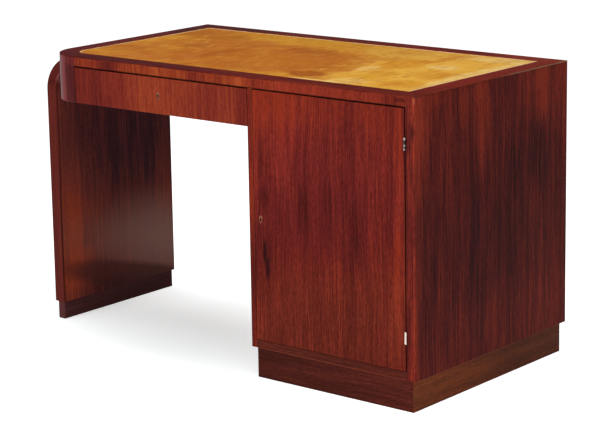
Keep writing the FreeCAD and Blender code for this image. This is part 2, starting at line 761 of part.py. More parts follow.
def leg_spans():
    """Spans of the slab leg along X, Y and Z."""
    x_inner = x_left - leg_gap
    return ((x_inner - leg_thickness, x_inner), (y_front + leg_front_setback, y_back - leg_back_setback),
            (leg_foot_height, desk_height - leg_top_drop))


def spacer_spans():
    """Spans of the block between the case's end and the leg."""
    x_leg, y_leg, z_leg = leg_spans()
    z_low = z_case_bottom + spacer_lift
    y_span = (y_leg[0] + spacer_setback, y_leg[1] - spacer_setback)
    return ((x_leg[1], x_left), y_span, (z_low, z_low + spacer_height))


def leg_bolts():
    """Bolts from inside the case's end, through the spacer, into the leg."""
    x_spacer, y_spacer, z_spacer = spacer_spans()
    x_head = x_left + case_wall
    length = case_wall + leg_gap + leg_bolt_grip
    profile = [(0, 0), (leg_bolt_radius, 0), (leg_bolt_radius, length), (leg_bolt_head_radius, length),
               (leg_bolt_radius, length + leg_bolt_head_height), (0, length + leg_bolt_head_height)]
    bolts = []
    for column in range(leg_bolt_columns):
        y = y_spacer[0] + (y_spacer[1] - y_spacer[0]) * (column + 0.5) / leg_bolt_columns
        for row in range(leg_bolt_rows):
            z = z_spacer[0] + spacer_height * (row + 0.5) / leg_bolt_rows
            bolts.append(revolved(profile, vector(x_head - length, y, z), vector(1, 0, 0)))
    return bolts


def make_leg():
    """Slab leg with rounded upper corners on a recessed foot, and the spacer that joins it to the case."""
    x_leg, y_leg, z_leg = leg_spans()
    radius = leg_corner_radius
    z_arc = z_leg[1] - radius
    outline = [(y_leg[0], z_leg[0]), (y_leg[1], z_leg[0]), (y_leg[1], z_arc),
               arc_corner((y_leg[1] - radius, z_arc), radius, 45, 90),
               (y_leg[0] + radius, z_leg[1]), arc_corner((y_leg[0] + radius, z_arc), radius, 135, 180)]
    slab = side_prism(outline, x_leg)
    outline_edges = [edge for x in x_leg for edge in picked_edges(slab, lambda p: near(p.x, x))
                     if not all(near(vertex.Z, z_leg[0]) for vertex in edge.Vertexes)]
    slab = slab.makeChamfer(leg_arris, outline_edges)
    bolts = Part.makeCompound(leg_bolts())
    return {
        "leg_panel": slab.cut(bolts),
        "leg_foot": block((x_leg[0] + leg_foot_inset, x_leg[1] - leg_foot_inset),
                          (y_leg[0] + leg_foot_inset, y_leg[1] - leg_foot_inset), (0, leg_foot_height)),
        "leg_spacer": block(*spacer_spans()).cut(bolts),
        "leg_bolts": bolts,
    }


def main():
    os.makedirs("parts", exist_ok=True)
    makers = (make_top, make_case, make_drawer, make_pedestal, make_door, make_hinges, make_plinth, make_leg)
    for make in makers:
        for name, shape in make().items():
            shape.exportStep(os.path.join("parts", name + ".step"))


main()
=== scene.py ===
import logging
import math
from collections.abc import Sequence
from dataclasses import dataclass, field
from enum import Enum

import bmesh
import bpy
from mathutils import Color, Matrix, Vector


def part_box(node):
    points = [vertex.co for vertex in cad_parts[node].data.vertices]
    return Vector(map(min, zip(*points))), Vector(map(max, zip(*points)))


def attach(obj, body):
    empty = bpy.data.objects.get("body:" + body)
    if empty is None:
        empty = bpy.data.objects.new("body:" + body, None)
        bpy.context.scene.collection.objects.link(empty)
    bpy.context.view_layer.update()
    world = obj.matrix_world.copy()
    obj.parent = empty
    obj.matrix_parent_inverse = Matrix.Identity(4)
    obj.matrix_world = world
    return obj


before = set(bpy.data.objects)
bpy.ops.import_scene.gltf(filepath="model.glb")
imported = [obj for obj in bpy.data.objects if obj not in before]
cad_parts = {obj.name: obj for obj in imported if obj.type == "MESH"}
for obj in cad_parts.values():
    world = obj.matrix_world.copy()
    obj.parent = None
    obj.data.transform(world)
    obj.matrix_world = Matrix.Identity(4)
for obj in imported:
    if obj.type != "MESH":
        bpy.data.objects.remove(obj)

LOG = logging.getLogger("writing_desk")
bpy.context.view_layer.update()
IMAGE_WIDTH, IMAGE_HEIGHT = 600, 438
MM = 0.001
WHITE = (1.0, 1.0, 1.0, 1.0)

Shade = tuple[float, float, float, float]
Triple = tuple[float, float, float]
Pair = tuple[float, float]
Socket = bpy.types.NodeSocket


def shade(code: str) -> Shade:
    """Turn a written colour into the linear values that shaders use.

    Args:
        code: Six hexadecimal digits, red, green and blue.

    Returns:
        Linear red, green and blue, and an alpha of one.
    """
    written = Color([part / 255 for part in bytes.fromhex(code)])
    return (*written.from_srgb_to_scene_linear(), 1.0)


class Grain(Enum):
    """Direction that a piece's grain runs in, with the direction across it that tells its faces apart."""

    UPRIGHT = ((1.0, -1.0, 0.0), (0.0, 0.0, 1.0))
    LENGTHWISE = ((0.0, -1.0, 1.0), (1.0, 0.0, 0.0))
    FRONT_TO_BACK = ((1.0, 0.0, 1.0), (0.0, 1.0, 0.0))

    @property
    def across(self) -> Triple:
        """Direction across the grain."""
        return self.value[0]

    @property
    def along(self) -> Triple:
        """Direction along the grain."""
        return self.value[1]


class Blend(Enum):
    """Way that a stain lies on a surface: over it, as a hue alone, or as added light."""

    COVER = "MIX"
    TINT = "COLOR"
    GLOW = "ADD"


class ShaderTree:
    """Adds and links the nodes of one shader tree."""

    def __init__(self, tree: bpy.types.NodeTree) -> None:
        """Keep the tree that the nodes go into."""
        self.tree = tree

    def feed(self, socket: Socket, value: object) -> None:
        """Link a socket to another, or set its value.

        Args:
            socket: The input to feed.
            value: An output to link it to, or a plain value.
        """
        if isinstance(value, bpy.types.NodeSocket):
            self.tree.links.new(value, socket)
        else:
            socket.default_value = value

    def node(self, kind: str, inputs: dict | None = None, **options: object) -> bpy.types.Node:
        """Add a node.

        Args:
            kind: The node's type without its common prefix.
            inputs: Values or sockets for its inputs, by name or index.
            options: Properties of the node itself.

        Returns:
            The new node.
        """
        made = self.tree.nodes.new("ShaderNode" + kind)
        for name, value in options.items():
            setattr(made, name, value)
        for key, value in (inputs or {}).items():
            self.feed(made.inputs[key], value)
        return made

    def math(self, operation: str, *values: object) -> Socket:
        """Add a math node on the values and return its result."""
        return self.node("Math", dict(enumerate(values)), operation=operation).outputs[0]

    def times(self, first: object, second: object) -> Socket:
        """Return the product of two values."""
        return self.math("MULTIPLY", first, second)

    def vector(self, operation: str, *values: object) -> Socket:
        """Add a vector math node on the values and return its vector."""
        return self.node("VectorMath", dict(enumerate(values)), operation=operation).outputs[0]

    def dot(self, first: object, second: object) -> Socket:
        """Return the dot product of two vectors."""
        return self.node("VectorMath", {0: first, 1: second}, operation="DOT_PRODUCT").outputs["Value"]

    def length(self, vector: Socket) -> Socket:
        """Return the length of a vector."""
        return self.node("VectorMath", {0: vector}, operation="LENGTH").outputs["Value"]

    def point(self, x: object, y: object, z: object) -> Socket:
        """Return a vector made of three values."""
        return self.node("CombineXYZ", {0: x, 1: y, 2: z}).outputs[0]

    def place(self) -> Socket:
        """Return the place on the object, in metres from the desk's own origin."""
        return self.node("TexCoord").outputs["Object"]

    def noise(self, place: object, detail: float = 2.0, rough: float = 0.5, scale: float = 1.0) -> Socket:
        """Return smooth noise at a place."""
        inputs = {"Vector": place, "Scale": scale, "Detail": detail, "Roughness": rough}
        return self.node("TexNoise", inputs).outputs[0]

    def step(self, value: object, low: object, high: object, start: float = 0.0, end: float = 1.0) -> Socket:
        """Return a smooth step of a value from one level to another."""
        inputs = dict(enumerate((value, low, high, start, end)))
        return self.node("MapRange", inputs, interpolation_type="SMOOTHSTEP").outputs[0]

    def mix(self, amount: object, first: object, second: object, blend: Blend = Blend.COVER) -> Socket:
        """Return two colours mixed by an amount."""
        made = self.node("Mix", {0: amount, 6: first, 7: second}, data_type="RGBA", blend_type=blend.value)
        return made.outputs[2]

    def centred(self, value: Socket, amount: object) -> Socket:
        """Return a value's distance from one half, times an amount."""
        return self.times(self.math("SUBTRACT", value, 0.5), amount)

    def bump(self, height: Socket, strength: float, distance: float) -> Socket:
        """Return the normal of a surface with a height."""
        return self.node("Bump", {"Height": height, "Strength": strength, "Distance": distance}).outputs[0]

    def surface(self, inputs: dict[str, object]) -> None:
        """Add a principled shader with its inputs and send it to the material's output."""
        shader = self.node("BsdfPrincipled", inputs)
        self.node("OutputMaterial", {"Surface": shader.outputs[0]})


class ShaderGroup:
    """A shader node group that is built once and placed in many materials."""

    def __init__(self, name: str, inputs: dict[str, str], outputs: dict[str, str]) -> None:
        """Make an empty group.

        Args:
            name: The group's name.
            inputs: Names of the inputs of each kind.
            outputs: Names of the outputs of each kind.
        """
        self.group = bpy.data.node_groups.new(name, "ShaderNodeTree")
        for side, sockets in (("INPUT", inputs), ("OUTPUT", outputs)):
            for kind, labels in sockets.items():
                for label in labels.split():
                    self.group.interface.new_socket(name=label, in_out=side, socket_type="NodeSocket" + kind)
        self.tree = ShaderTree(self.group)
        self.entry = self.group.nodes.new("NodeGroupInput").outputs
        self.exit = self.group.nodes.new("NodeGroupOutput").inputs

    def give(self, **results: object) -> None:
        """Send results to the group's outputs."""
        for label, value in results.items():
            self.tree.feed(self.exit[label], value)

    def put(self, tree: ShaderTree, **values: object) -> bpy.types.NodeOutputs:
        """Put the group into a material's tree.

        Args:
            tree: The material's tree.
            values: Values or sockets for the group's inputs.

        Returns:
            The outputs of the placed group.
        """
        made = tree.tree.nodes.new("ShaderNodeGroup")
        made.node_tree = self.group
        for label, value in values.items():
            tree.feed(made.inputs[label], value)
        return made.outputs


class Strand(Enum):
    """Kind of line in straight-grained wood: how many come in a metre across and along, and their detail."""

    BANDS = (17.0, 1.1, 2.0)
    STREAKS = (110.0, 2.6, 2.0)
    FIBRES = (330.0, 9.0, 1.0)
    DASHES = (380.0, 85.0, 1.0)
    PORES = (1000.0, 60.0, 1.0)


def make_grain_group() -> ShaderGroup:
    """Build the group for straight-grained wood: a tone from four kinds of line, and its pores.

    Returns:
        The group.
    """
    inputs = {"Vector": "Across Along", "Float": "Seed Bands Streaks Fibres Dashes"}
    group = ShaderGroup("StraightGrain", inputs, {"Float": "Tone Pores"})
    tree, entry = group.tree, group.entry
    wander_across, wander_along, wander = 3.1, 2.4, 0.030
    place = tree.place()
    across = tree.math("ADD", tree.dot(place, entry["Across"]), entry["Seed"])
    along = tree.math("ADD", tree.dot(place, entry["Along"]), entry["Seed"])
    slow = tree.point(tree.times(across, wander_across), 0.0, tree.times(along, wander_along))
    bent = tree.math("MULTIPLY_ADD", tree.noise(slow, detail=1.0), wander, across)
    lines = {}
    for strand in Strand:
        wide, long, detail = strand.value
        spot = tree.point(tree.times(bent, wide), entry["Seed"], tree.times(along, long))
        lines[strand] = tree.noise(spot, detail, rough=0.6)
    pores = tree.step(lines.pop(Strand.PORES), low=0.55, high=0.70)
    tone = 0.5
    for strand, line in lines.items():
        tone = tree.math("ADD", tone, tree.centred(line, entry[strand.name.title()]))
    group.give(Tone=tone, Pores=pores)
    return group


def make_patch_group() -> ShaderGroup:
    """Build the group for one patch of figure or stain: a mask that fades past the ragged edge of an oval.

    Returns:
        The group.
    """
    inputs = {"Vector": "Centre Reach Rise Fray", "Float": "Ragged Soft"}
    group = ShaderGroup("FigurePatch", inputs, {"Float": "Mask"})
    tree, entry = group.tree, group.entry
    place = tree.place()
    offset = tree.vector("SUBTRACT", place, entry["Centre"])
    split = tree.node("SeparateXYZ", {0: offset}).outputs
    leaning = tree.point(split[0], split[1], tree.dot(offset, entry["Rise"]))
    away = tree.vector("DIVIDE", leaning, entry["Reach"])
    ragged = tree.noise(tree.vector("MULTIPLY", place, entry["Fray"]), detail=4.0, rough=0.6)
    edge = tree.math("ADD", tree.length(away), tree.centred(ragged, entry["Ragged"]))
    outside = tree.math("ADD", 1.0, entry["Soft"])
    inside = tree.math("SUBTRACT", 1.0, entry["Soft"])
    group.give(Mask=tree.step(edge, outside, inside))
    return group


def make_tone_group() -> ShaderGroup:
    """Build the group that colours a tone from dark through middle to light, with pores laid over it.

    Returns:
        The group.
    """
    inputs = {"Float": "Tone Pores PoreAmount", "Color": "Dark Middle Light PoreColour"}
    group = ShaderGroup("WoodColour", inputs, {"Color": "Colour"})
    tree, entry = group.tree, group.entry
    middle = 0.5
    lower = tree.node("MapRange", {0: entry["Tone"], 1: 0.0, 2: middle}).outputs[0]
    upper = tree.node("MapRange", {0: entry["Tone"], 1: middle, 2: 1.0}).outputs[0]
    colour = tree.mix(upper, tree.mix(lower, entry["Dark"], entry["Middle"]), entry["Light"])
    depth = tree.times(entry["Pores"], entry["PoreAmount"])
    group.give(Colour=tree.mix(depth, colour, entry["PoreColour"]))
    return group


def make_arris_group() -> ShaderGroup:
    """Build the group that finds worn arrises: a broken line along the sharp edges of a piece.

    Returns:
        The group.
    """
    group = ShaderGroup("ArrisWear", {"Float": "Width Amount"}, {"Float": "Wear"})
    tree, entry = group.tree, group.entry
    rounded = tree.node("Bevel", {"Radius": entry["Width"]}, samples=4).outputs[0]
    flat = tree.node("NewGeometry").outputs["Normal"]
    edge = tree.step(tree.dot(rounded, flat), low=0.995, high=0.80)
    broken = tree.noise(tree.place(), detail=3.0, scale=38.0)
    wear = tree.times(edge, tree.step(broken, low=0.36, high=0.62))
    group.give(Wear=tree.times(wear, entry["Amount"]))
    return group


def make_gap_shade_group() -> ShaderGroup:
    """Build the group for painted shade: a darker colour laid in the gaps and corners of a piece, where
    ambient occlusion finds them shut in.

    Returns:
        The group.
    """
    group = ShaderGroup("PaintedGapShade", {"Float": "Reach Amount"}, {"Float": "Dirt"})
    tree, entry = group.tree, group.entry
    open_sky = tree.node("AmbientOcclusion", {"Distance": entry["Reach"]}, samples=8).outputs["AO"]
    group.give(Dirt=tree.times(tree.step(open_sky, low=0.62, high=0.12), entry["Amount"]))
    return group


def make_polish_group() -> ShaderGroup:
    """Build the group for hand-rubbed polish: roughness that drifts, and a height for ripples and pores.

    Returns:
        The group.
    """
    group = ShaderGroup("RubbedPolish", {"Float": "Rough Drift Pores"}, {"Float": "Roughness Height"})
    tree, entry = group.tree, group.entry
    ripple_height, pore_height = 0.35, -0.5
    place = tree.place()
    cloud = tree.noise(place, detail=4.0, rough=0.6, scale=7.0)
    rough = tree.math("ADD", entry["Rough"], tree.centred(cloud, entry["Drift"]))
    ripple = tree.times(tree.noise(place, detail=1.0, scale=60.0), ripple_height)
    group.give(Roughness=rough, Height=tree.math("MULTIPLY_ADD", entry["Pores"], pore_height, ripple))
    return group


def make_tarnish_group() -> ShaderGroup:
    """Build the group for old metal: a clean and a tarnished colour in patches, with fine scratches.

    Returns:
        The group.
    """
    group = ShaderGroup("Tarnish", {"Color": "Clean Dull", "Float": "Patch Rough"},
                        {"Color": "Colour", "Float": "Roughness Height"})
    tree, entry = group.tree, group.entry
    dull_roughness, scratches = 0.22, (2600.0, 2600.0, 260.0)
    place = tree.place()
    patch = tree.noise(place, detail=4.0, rough=0.65, scale=240.0)
    dull = tree.times(tree.step(patch, low=0.38, high=0.66), entry["Patch"])
    rough = tree.math("MULTIPLY_ADD", dull, dull_roughness, entry["Rough"])
    scratch = tree.noise(tree.vector("MULTIPLY", place, scratches))
    group.give(Colour=tree.mix(dull, entry["Clean"], entry["Dull"]), Roughness=rough, Height=scratch)
    return group


class Effects:
    """The shared shader groups, built once."""

    def __init__(self) -> None:
        """Build every group."""
        self.grain = make_grain_group()
        self.patch = make_patch_group()
        self.tone = make_tone_group()
        self.arris = make_arris_group()
        # painted shade in the gaps and corners of each piece
        self.gap_shade = make_gap_shade_group()
        self.polish = make_polish_group()
        self.tarnish = make_tarnish_group()


def bare_tree(owner: bpy.types.Material | bpy.types.World) -> ShaderTree:
    """Clear the nodes of a material or a world.

    Args:
        owner: The material or world.

    Returns:
        Its empty tree.
    """
    owner.use_nodes = True
    owner.node_tree.nodes.clear()
    return ShaderTree(owner.node_tree)


def add_object(name: str, data: bpy.types.ID) -> bpy.types.Object:
    """Make an object and put it into the scene.

    Args:
        name: The object's name.
        data: Its mesh, lamp or camera.

    Returns:
        The object.
    """
    made = bpy.data.objects.new(name, data)
    bpy.context.scene.collection.objects.link(made)
    return made


def new_material(name: str) -> tuple[bpy.types.Material, ShaderTree]:
    """Make a material, and return it with its empty tree."""
    material = bpy.data.materials.new(name)
    return material, bare_tree(material)


@dataclass(frozen=True)
class Patch:
    """One patch on the desk, in millimetres: its middle, its reach, its strength and how its edge frays."""

    centre: Triple
    reach: Triple
    amount: float
    rise: Triple = (0.0, 0.0, 1.0)
    fray: Triple = (60.0, 60.0, 7.0)
    ragged: float = 1.1
    soft: float = 0.6

    def share(self, effects: Effects, tree: ShaderTree) -> Socket:
        """Work out how strongly the patch shows.

        Args:
            effects: The shared shader groups.
            tree: The material's tree.

        Returns:
            The patch's strength at each place.
        """
        centre = tuple(value * MM for value in self.centre)
        reach = tuple(value * MM for value in self.reach)
        mask = effects.patch.put(tree, Centre=centre, Reach=reach, Rise=self.rise, Fray=self.fray,
                                 Ragged=self.ragged, Soft=self.soft)["Mask"]
        return tree.times(mask, self.amount)


@dataclass(frozen=True)
class Mark(Patch):
    """A patch that lifts or lowers the tone of a veneer."""

    def lay(self, effects: Effects, tree: ShaderTree, tone: Socket) -> Socket:
        """Lay the mark over a tone and return the new tone."""
        return tree.math("ADD", tone, self.share(effects, tree))


@dataclass(frozen=True)
class Stain(Patch):
    """A patch of another colour."""

    colour: str = field(kw_only=True)
    blend: Blend = field(default=Blend.COVER, kw_only=True)

    def lay(self, effects: Effects, tree: ShaderTree, colour: Socket) -> Socket:
        """Lay the stain over a colour and return the new colour."""
        return tree.mix(self.share(effects, tree), colour, shade(self.colour), self.blend)


@dataclass(frozen=True)
class Figure:
    """Figure of one piece: marks in its tone, stains in its colour, and glazes that lighten the painted gap
    shade in places; on some pieces the marks and stains also paint light and shade.
    """

    marks: tuple[Mark, ...] = ()
    stains: tuple[Stain, ...] = ()
    gap_shade_lifts: tuple[Stain, ...] = ()


@dataclass(frozen=True)
class WoodFinish:
    """A straight-grained wood under polish."""

    name: str
    dark: str
    middle: str
    light: str
    pore: str
    wear: str
    # Colour of the painted shade laid in the piece's gaps and corners
    gap_shade_colour: str = "1a0a0a"
    bands: float = 0.6
    streaks: float = 0.7
    fibres: float = 1.3
    dashes: float = 1.5
    pores: float = 0.45
    rough: float = 0.34
    drift: float = 0.12
    specular: float = 0.02
    wear_amount: float = 0.6
    wear_width: float = 1.4 * MM
    # Reach and strength of that painted shade
    gap_shade_reach: float = 12.0 * MM
    gap_shade_amount: float = 0.95
    bump: float = 0.05
    bump_height: float = 0.3 * MM

    def make(self, effects: Effects, grain: Grain, seed: float, figure: Figure) -> bpy.types.Material:
        """Make the material for one piece.

        Args:
            effects: The shared shader groups.
            grain: Direction of the piece's grain.
            seed: Place in the log, so that pieces differ.
            figure: Marks and stains of the piece.

        Returns:
            The finished material.
        """
        material, tree = new_material(f"{self.name}_{grain.name.lower()}_{seed:g}")
        leaf = effects.grain.put(tree, Across=grain.across, Along=grain.along, Seed=seed, Bands=self.bands,
                                 Streaks=self.streaks, Fibres=self.fibres, Dashes=self.dashes)
        tone = leaf["Tone"]
        for mark in figure.marks:
            tone = mark.lay(effects, tree, tone)
        wood = effects.tone.put(tree, Tone=tone, Pores=leaf["Pores"], PoreAmount=self.pores,
                                Dark=shade(self.dark), Middle=shade(self.middle), Light=shade(self.light),
                                PoreColour=shade(self.pore))
        colour = wood["Colour"]
        for stain in figure.stains:
            colour = stain.lay(effects, tree, colour)
        worn = effects.arris.put(tree, Width=self.wear_width, Amount=self.wear_amount)
        # Painted shade: ambient occlusion darkens the colour in gaps and corners
        painted_gap_shade = effects.gap_shade.put(tree, Reach=self.gap_shade_reach, Amount=self.gap_shade_amount)
        polish = effects.polish.put(tree, Rough=self.rough, Drift=self.drift, Pores=leaf["Pores"])
        colour = tree.mix(worn["Wear"], colour, shade(self.wear))
        colour = tree.mix(painted_gap_shade["Dirt"], colour, shade(self.gap_shade_colour))
        # glazes lighten the painted gap shade again where it is laid
        for gap_shade_lift in figure.gap_shade_lifts:
            colour = gap_shade_lift.lay(effects, tree, colour)
        normal = tree.bump(polish["Height"], self.bump, self.bump_height)
        tree.surface({"Base Color": colour, "Roughness": polish["Roughness"], "Normal": normal,
                      "Specular IOR Level": self.specular})
        return material


@dataclass(frozen=True)
class MetalFinish:
    """Old metal with patches of tarnish."""

    name: str
    clean: str
    dull: str
    patch: float
    rough: float
    # Colour, reach and strength of the painted shade in the metal's gaps and hollows
    gap_shade_colour: str = "140a08"
    gap_shade_reach: float = 5.0 * MM
    gap_shade_amount: float = 0.95
    scratch: float = 0.08
    scratch_depth: float = 0.05 * MM

    def make(self, effects: Effects, stains: Sequence[Stain] = ()) -> bpy.types.Material:
        """Make the metal's material.

        Args:
            effects: The shared shader groups.
            stains: Dark places on the metal; here painted shade in the keyholes and a painted dark reflection
                on the upper hinge.

        Returns:
            The finished material.
        """
        material, tree = new_material(self.name)
        metal = effects.tarnish.put(tree, Clean=shade(self.clean), Dull=shade(self.dull), Patch=self.patch,
                                    Rough=self.rough)
        colour = metal["Colour"]
        for stain in stains:
            colour = stain.lay(effects, tree, colour)
        # Painted shade: ambient occlusion darkens the colour in gaps and hollows
        painted_gap_shade = effects.gap_shade.put(tree, Reach=self.gap_shade_reach, Amount=self.gap_shade_amount)
        colour = tree.mix(painted_gap_shade["Dirt"], colour, shade(self.gap_shade_colour))
        normal = tree.bump(metal["Height"], self.scratch, self.scratch_depth)
        tree.surface({"Base Color": colour, "Roughness": metal["Roughness"], "Normal": normal,
                      "Metallic": 1.0})
        return material


@dataclass(frozen=True)
class HideFinish:
    """Polished hide, cloudy between amber and gold, with stains and faded parts laid over it."""

    name: str = "desk_leather"
    amber: str = "a8581b"
    honey: str = "bc7129"
    gold: str = "ce8d2e"
    shadow: str = "aa6020"
    bloom: str = "dca552"
    streak: Triple = (70.0, 24.0, 1.0)
    rough: float = 0.45
    drift: float = 0.16
    specular: float = 0.02
    crease_scale: float = 900.0
    crease_width: float = 0.12
    bump: float = 0.10
    bump_height: float = 0.2 * MM

    def make(self, effects: Effects, stains: Sequence[Stain]) -> bpy.types.Material:
        """Make the hide's material.

        Args:
            effects: The shared shader groups.
            stains: Stains and faded parts, in the order they lie in.

        Returns:
            The finished material.
        """
        material, tree = new_material(self.name)
        place = tree.place()
        cloud = tree.noise(place, detail=6.0, rough=0.66, scale=6.5)
        colour = tree.mix(tree.step(cloud, low=0.38, high=0.62), shade(self.honey), shade(self.gold))
        for stain in stains:
            colour = stain.lay(effects, tree, colour)
        blotch = tree.noise(place, detail=4.0, rough=0.6, scale=18.0)
        colour = tree.mix(tree.step(blotch, low=0.46, high=0.70, end=0.34), colour, shade(self.amber))
        drawn = tree.noise(tree.vector("MULTIPLY", place, self.streak), detail=3.0, rough=0.7)
        colour = tree.mix(tree.step(drawn, low=0.50, high=0.68, end=0.36), colour, shade(self.shadow))
        colour = tree.mix(tree.step(drawn, low=0.48, high=0.32, end=0.31), colour, shade(self.bloom))
        cells = {"Vector": place, "Scale": self.crease_scale}
        inside = tree.node("TexVoronoi", cells, feature="DISTANCE_TO_EDGE").outputs[0]
        crease = tree.step(inside, low=0.0, high=self.crease_width)
        polish = effects.polish.put(tree, Rough=self.rough, Drift=self.drift, Pores=0.0)
        normal = tree.bump(crease, self.bump, self.bump_height)
        tree.surface({"Base Color": colour, "Roughness": polish["Roughness"], "Normal": normal,
                      "Specular IOR Level": self.specular})
        return material


@dataclass(frozen=True)
class EdgeFinish:
    """Pale cut edge of the hide, with worn stretches."""

    name: str = "hide_edge"
    pale: str = "efc898"
    worn: str = "cf9a5a"
    pale_rough: float = 0.5
    worn_rough: float = 0.7
    specular: float = 0.1

    def make(self) -> bpy.types.Material:
        """Make the edge's material.

        Returns:
            The finished material.
        """
        material, tree = new_material(self.name)
        wear = tree.step(tree.noise(tree.place(), detail=3.0, scale=26.0), low=0.42, high=0.66)
        colour = tree.mix(wear, shade(self.pale), shade(self.worn))
        rough = tree.step(wear, 0.0, 1.0, self.pale_rough, self.worn_rough)
        tree.surface({"Base Color": colour, "Roughness": rough, "Specular IOR Level": self.specular})
        return material


ROSEWOOD = WoodFinish("rosewood", dark="461413", middle="6b2019", light="92301a", pore="340f0f",
                      wear="9a4422", streaks=0.6, fibres=1.0, dashes=0.8)
SIDE_ROSEWOOD = WoodFinish("side_rosewood", dark="360c0f", middle="69221d", light="a03824", pore="280b0d",
                           wear="b0622a", streaks=0.8, fibres=1.1, dashes=0.7, wear_amount=0.1)
DRAWER_ROSEWOOD = WoodFinish("drawer_rosewood", dark="541716", middle="7e2c1f", light="a44726", pore="3c110e",
                             wear="a04a24", bands=0.5, streaks=0.5, fibres=0.8, dashes=0.45)
FRIEZE_ROSEWOOD = WoodFinish("frieze_rosewood", dark="561a18", middle="86301c", light="a84e25", pore="3c110e",
                             wear="a04a24", bands=1.0, fibres=0.85, dashes=0.6)
POST_ROSEWOOD = WoodFinish("post_rosewood", dark="360e10", middle="4a1516", light="78292a", pore="2c0a0c",
                           wear="8a4028", fibres=0.9, dashes=0.6, specular=0.045)
LEG_ROSEWOOD = WoodFinish("leg_rosewood", dark="361922", middle="7b3830", light="b54a2a", pore="3a1618",
                          wear="8a3c20", streaks=0.7, fibres=0.7, dashes=0.5)
FOOT_WOOD = WoodFinish("foot_wood", dark="4a2828", middle="5b3231", light="6c3c38", pore="3a1c1c",
                       wear="7c4434", streaks=0.5, fibres=0.6, dashes=0.4)
BORDER_WOOD = WoodFinish("border_wood", dark="4a1012", middle="6a1d18", light="8c3220", pore="3a0c0e",
                         wear="a8643a", bands=1.2, streaks=1.1, fibres=1.6, rough=0.30, drift=0.06,
                         specular=0.01)
RAIL_WOOD = WoodFinish("rail_wood", dark="3c160f", middle="522219", light="6a2b1f", pore="2e100c",
                       wear="8a4428", dashes=0.9)
PLINTH_WOOD = WoodFinish("plinth_wood", dark="381610", middle="4f2019", light="6a2c21", pore="2a0f0c",
                         wear="7c4226", bands=1.2, fibres=0.9, dashes=0.8)
PLINTH_END_WOOD = WoodFinish("plinth_end_wood", dark="5a2e1e", middle="7d3f26", light="a2522c", pore="3a1a10",
                             wear="9a5a34", fibres=0.7, dashes=0.7)
# Oak and core wood take a paler painted shade in their gaps
OAK = WoodFinish("drawer_oak", dark="80592f", middle="a57b49", light="b98f5c", pore="5c3e20",
                 wear="c7a271", gap_shade_colour="3a2714", rough=0.55, wear_amount=0.25, specular=0.2)
CORE_WOOD = WoodFinish("core_wood", dark="866238", middle="a88658", light="b89a70", pore="6b4a2a",
                       wear="c0a27a", gap_shade_colour="3a2714", rough=0.6, wear_amount=0.2, specular=0.2)
BRASS = MetalFinish("lock_brass", clean="a87a52", dull="5e3c24", patch=0.85, rough=0.40)
KEY_BRASS = MetalFinish("key_brass", clean="8a5640", dull="66382a", patch=0.7, rough=0.45)
# One nickel in two copies: painted lighter for the lower hinge and painted darker for the upper, as lit and
# shaded copies
NICKEL_LIT_COPY = MetalFinish("nickel_lit_copy", clean="dac8bc", dull="8c7c74", patch=0.5, rough=0.28)
NICKEL_SHADED_COPY = MetalFinish("nickel_shaded_copy", clean="a89c9a", dull="241a1c", patch=1.0, rough=0.30)
STEEL = MetalFinish("fastener_steel", clean="9a958c", dull="5c544a", patch=0.6, rough=0.4)


@dataclass(frozen=True)
class Face:
    """One flat face of the desk, in millimetres, on which a patch needs only the two other coordinates."""

    axis: int
    level: float
    depth: float

    def spot(self, pair: Pair, own: float) -> Triple:
        """Put a value for the face's own axis among two others."""
        return (*pair[:self.axis], own, *pair[self.axis:])

    def mark(self, place: Pair, reach: Pair, amount: float, **edge: object) -> Mark:
        """Place a mark on the face."""
        return Mark(self.spot(place, self.level), self.spot(reach, self.depth), amount, **edge)

    def marks(self, *rows: Sequence[float], **edge: object) -> tuple[Mark, ...]:
        """Place several marks, each from a row of its place, reach and amount."""
        return tuple(self.mark(row[:2], row[2:4], row[4], **edge) for row in rows)

    def stain(self, place: Pair, reach: Pair, amount: float, colour: str, **edge: object) -> Stain:
        """Place a stain on the face."""
        centre, spread = self.spot(place, self.level), self.spot(reach, self.depth)
        return Stain(centre, spread, amount, colour=colour, **edge)


# Faces that patches lie on, each with the depth that they reach to
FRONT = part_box("drawer_front")[0][1] / MM
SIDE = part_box("pedestal_side_right")[1][0] / MM
LEG_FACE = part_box("leg_panel")[1][0] / MM
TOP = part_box("border_front")[1][2] / MM
DOOR = Face(1, FRONT, 200.0)
FACADE = Face(1, FRONT, 20.0)
FLANK = Face(0, SIDE, 30.0)
LEG = Face(0, LEG_FACE, 14.0)
BORDER = Face(2, TOP, 50.0)
HIDE = Face(2, TOP, 100.0)


def border_stain(grain: Grain, place: Pair, reach: Pair, amount: float, colour: str) -> Stain:
    """Place a stain on the border, frayed along the grain of its strip."""
    fray = tuple(7.0 if along else 60.0 for along in grain.along)
    return BORDER.stain(place, reach, amount, colour, fray=fray, soft=0.8)


def hide_stain(place: Pair, reach: Pair, amount: float, colour: str, ragged: float = 1.5) -> Stain:
    """Place a stain or faded part on the hide, with a crisp, cloudy edge."""
    return HIDE.stain(place, reach, amount, colour, fray=(22.0, 22.0, 22.0), ragged=ragged, soft=0.30)
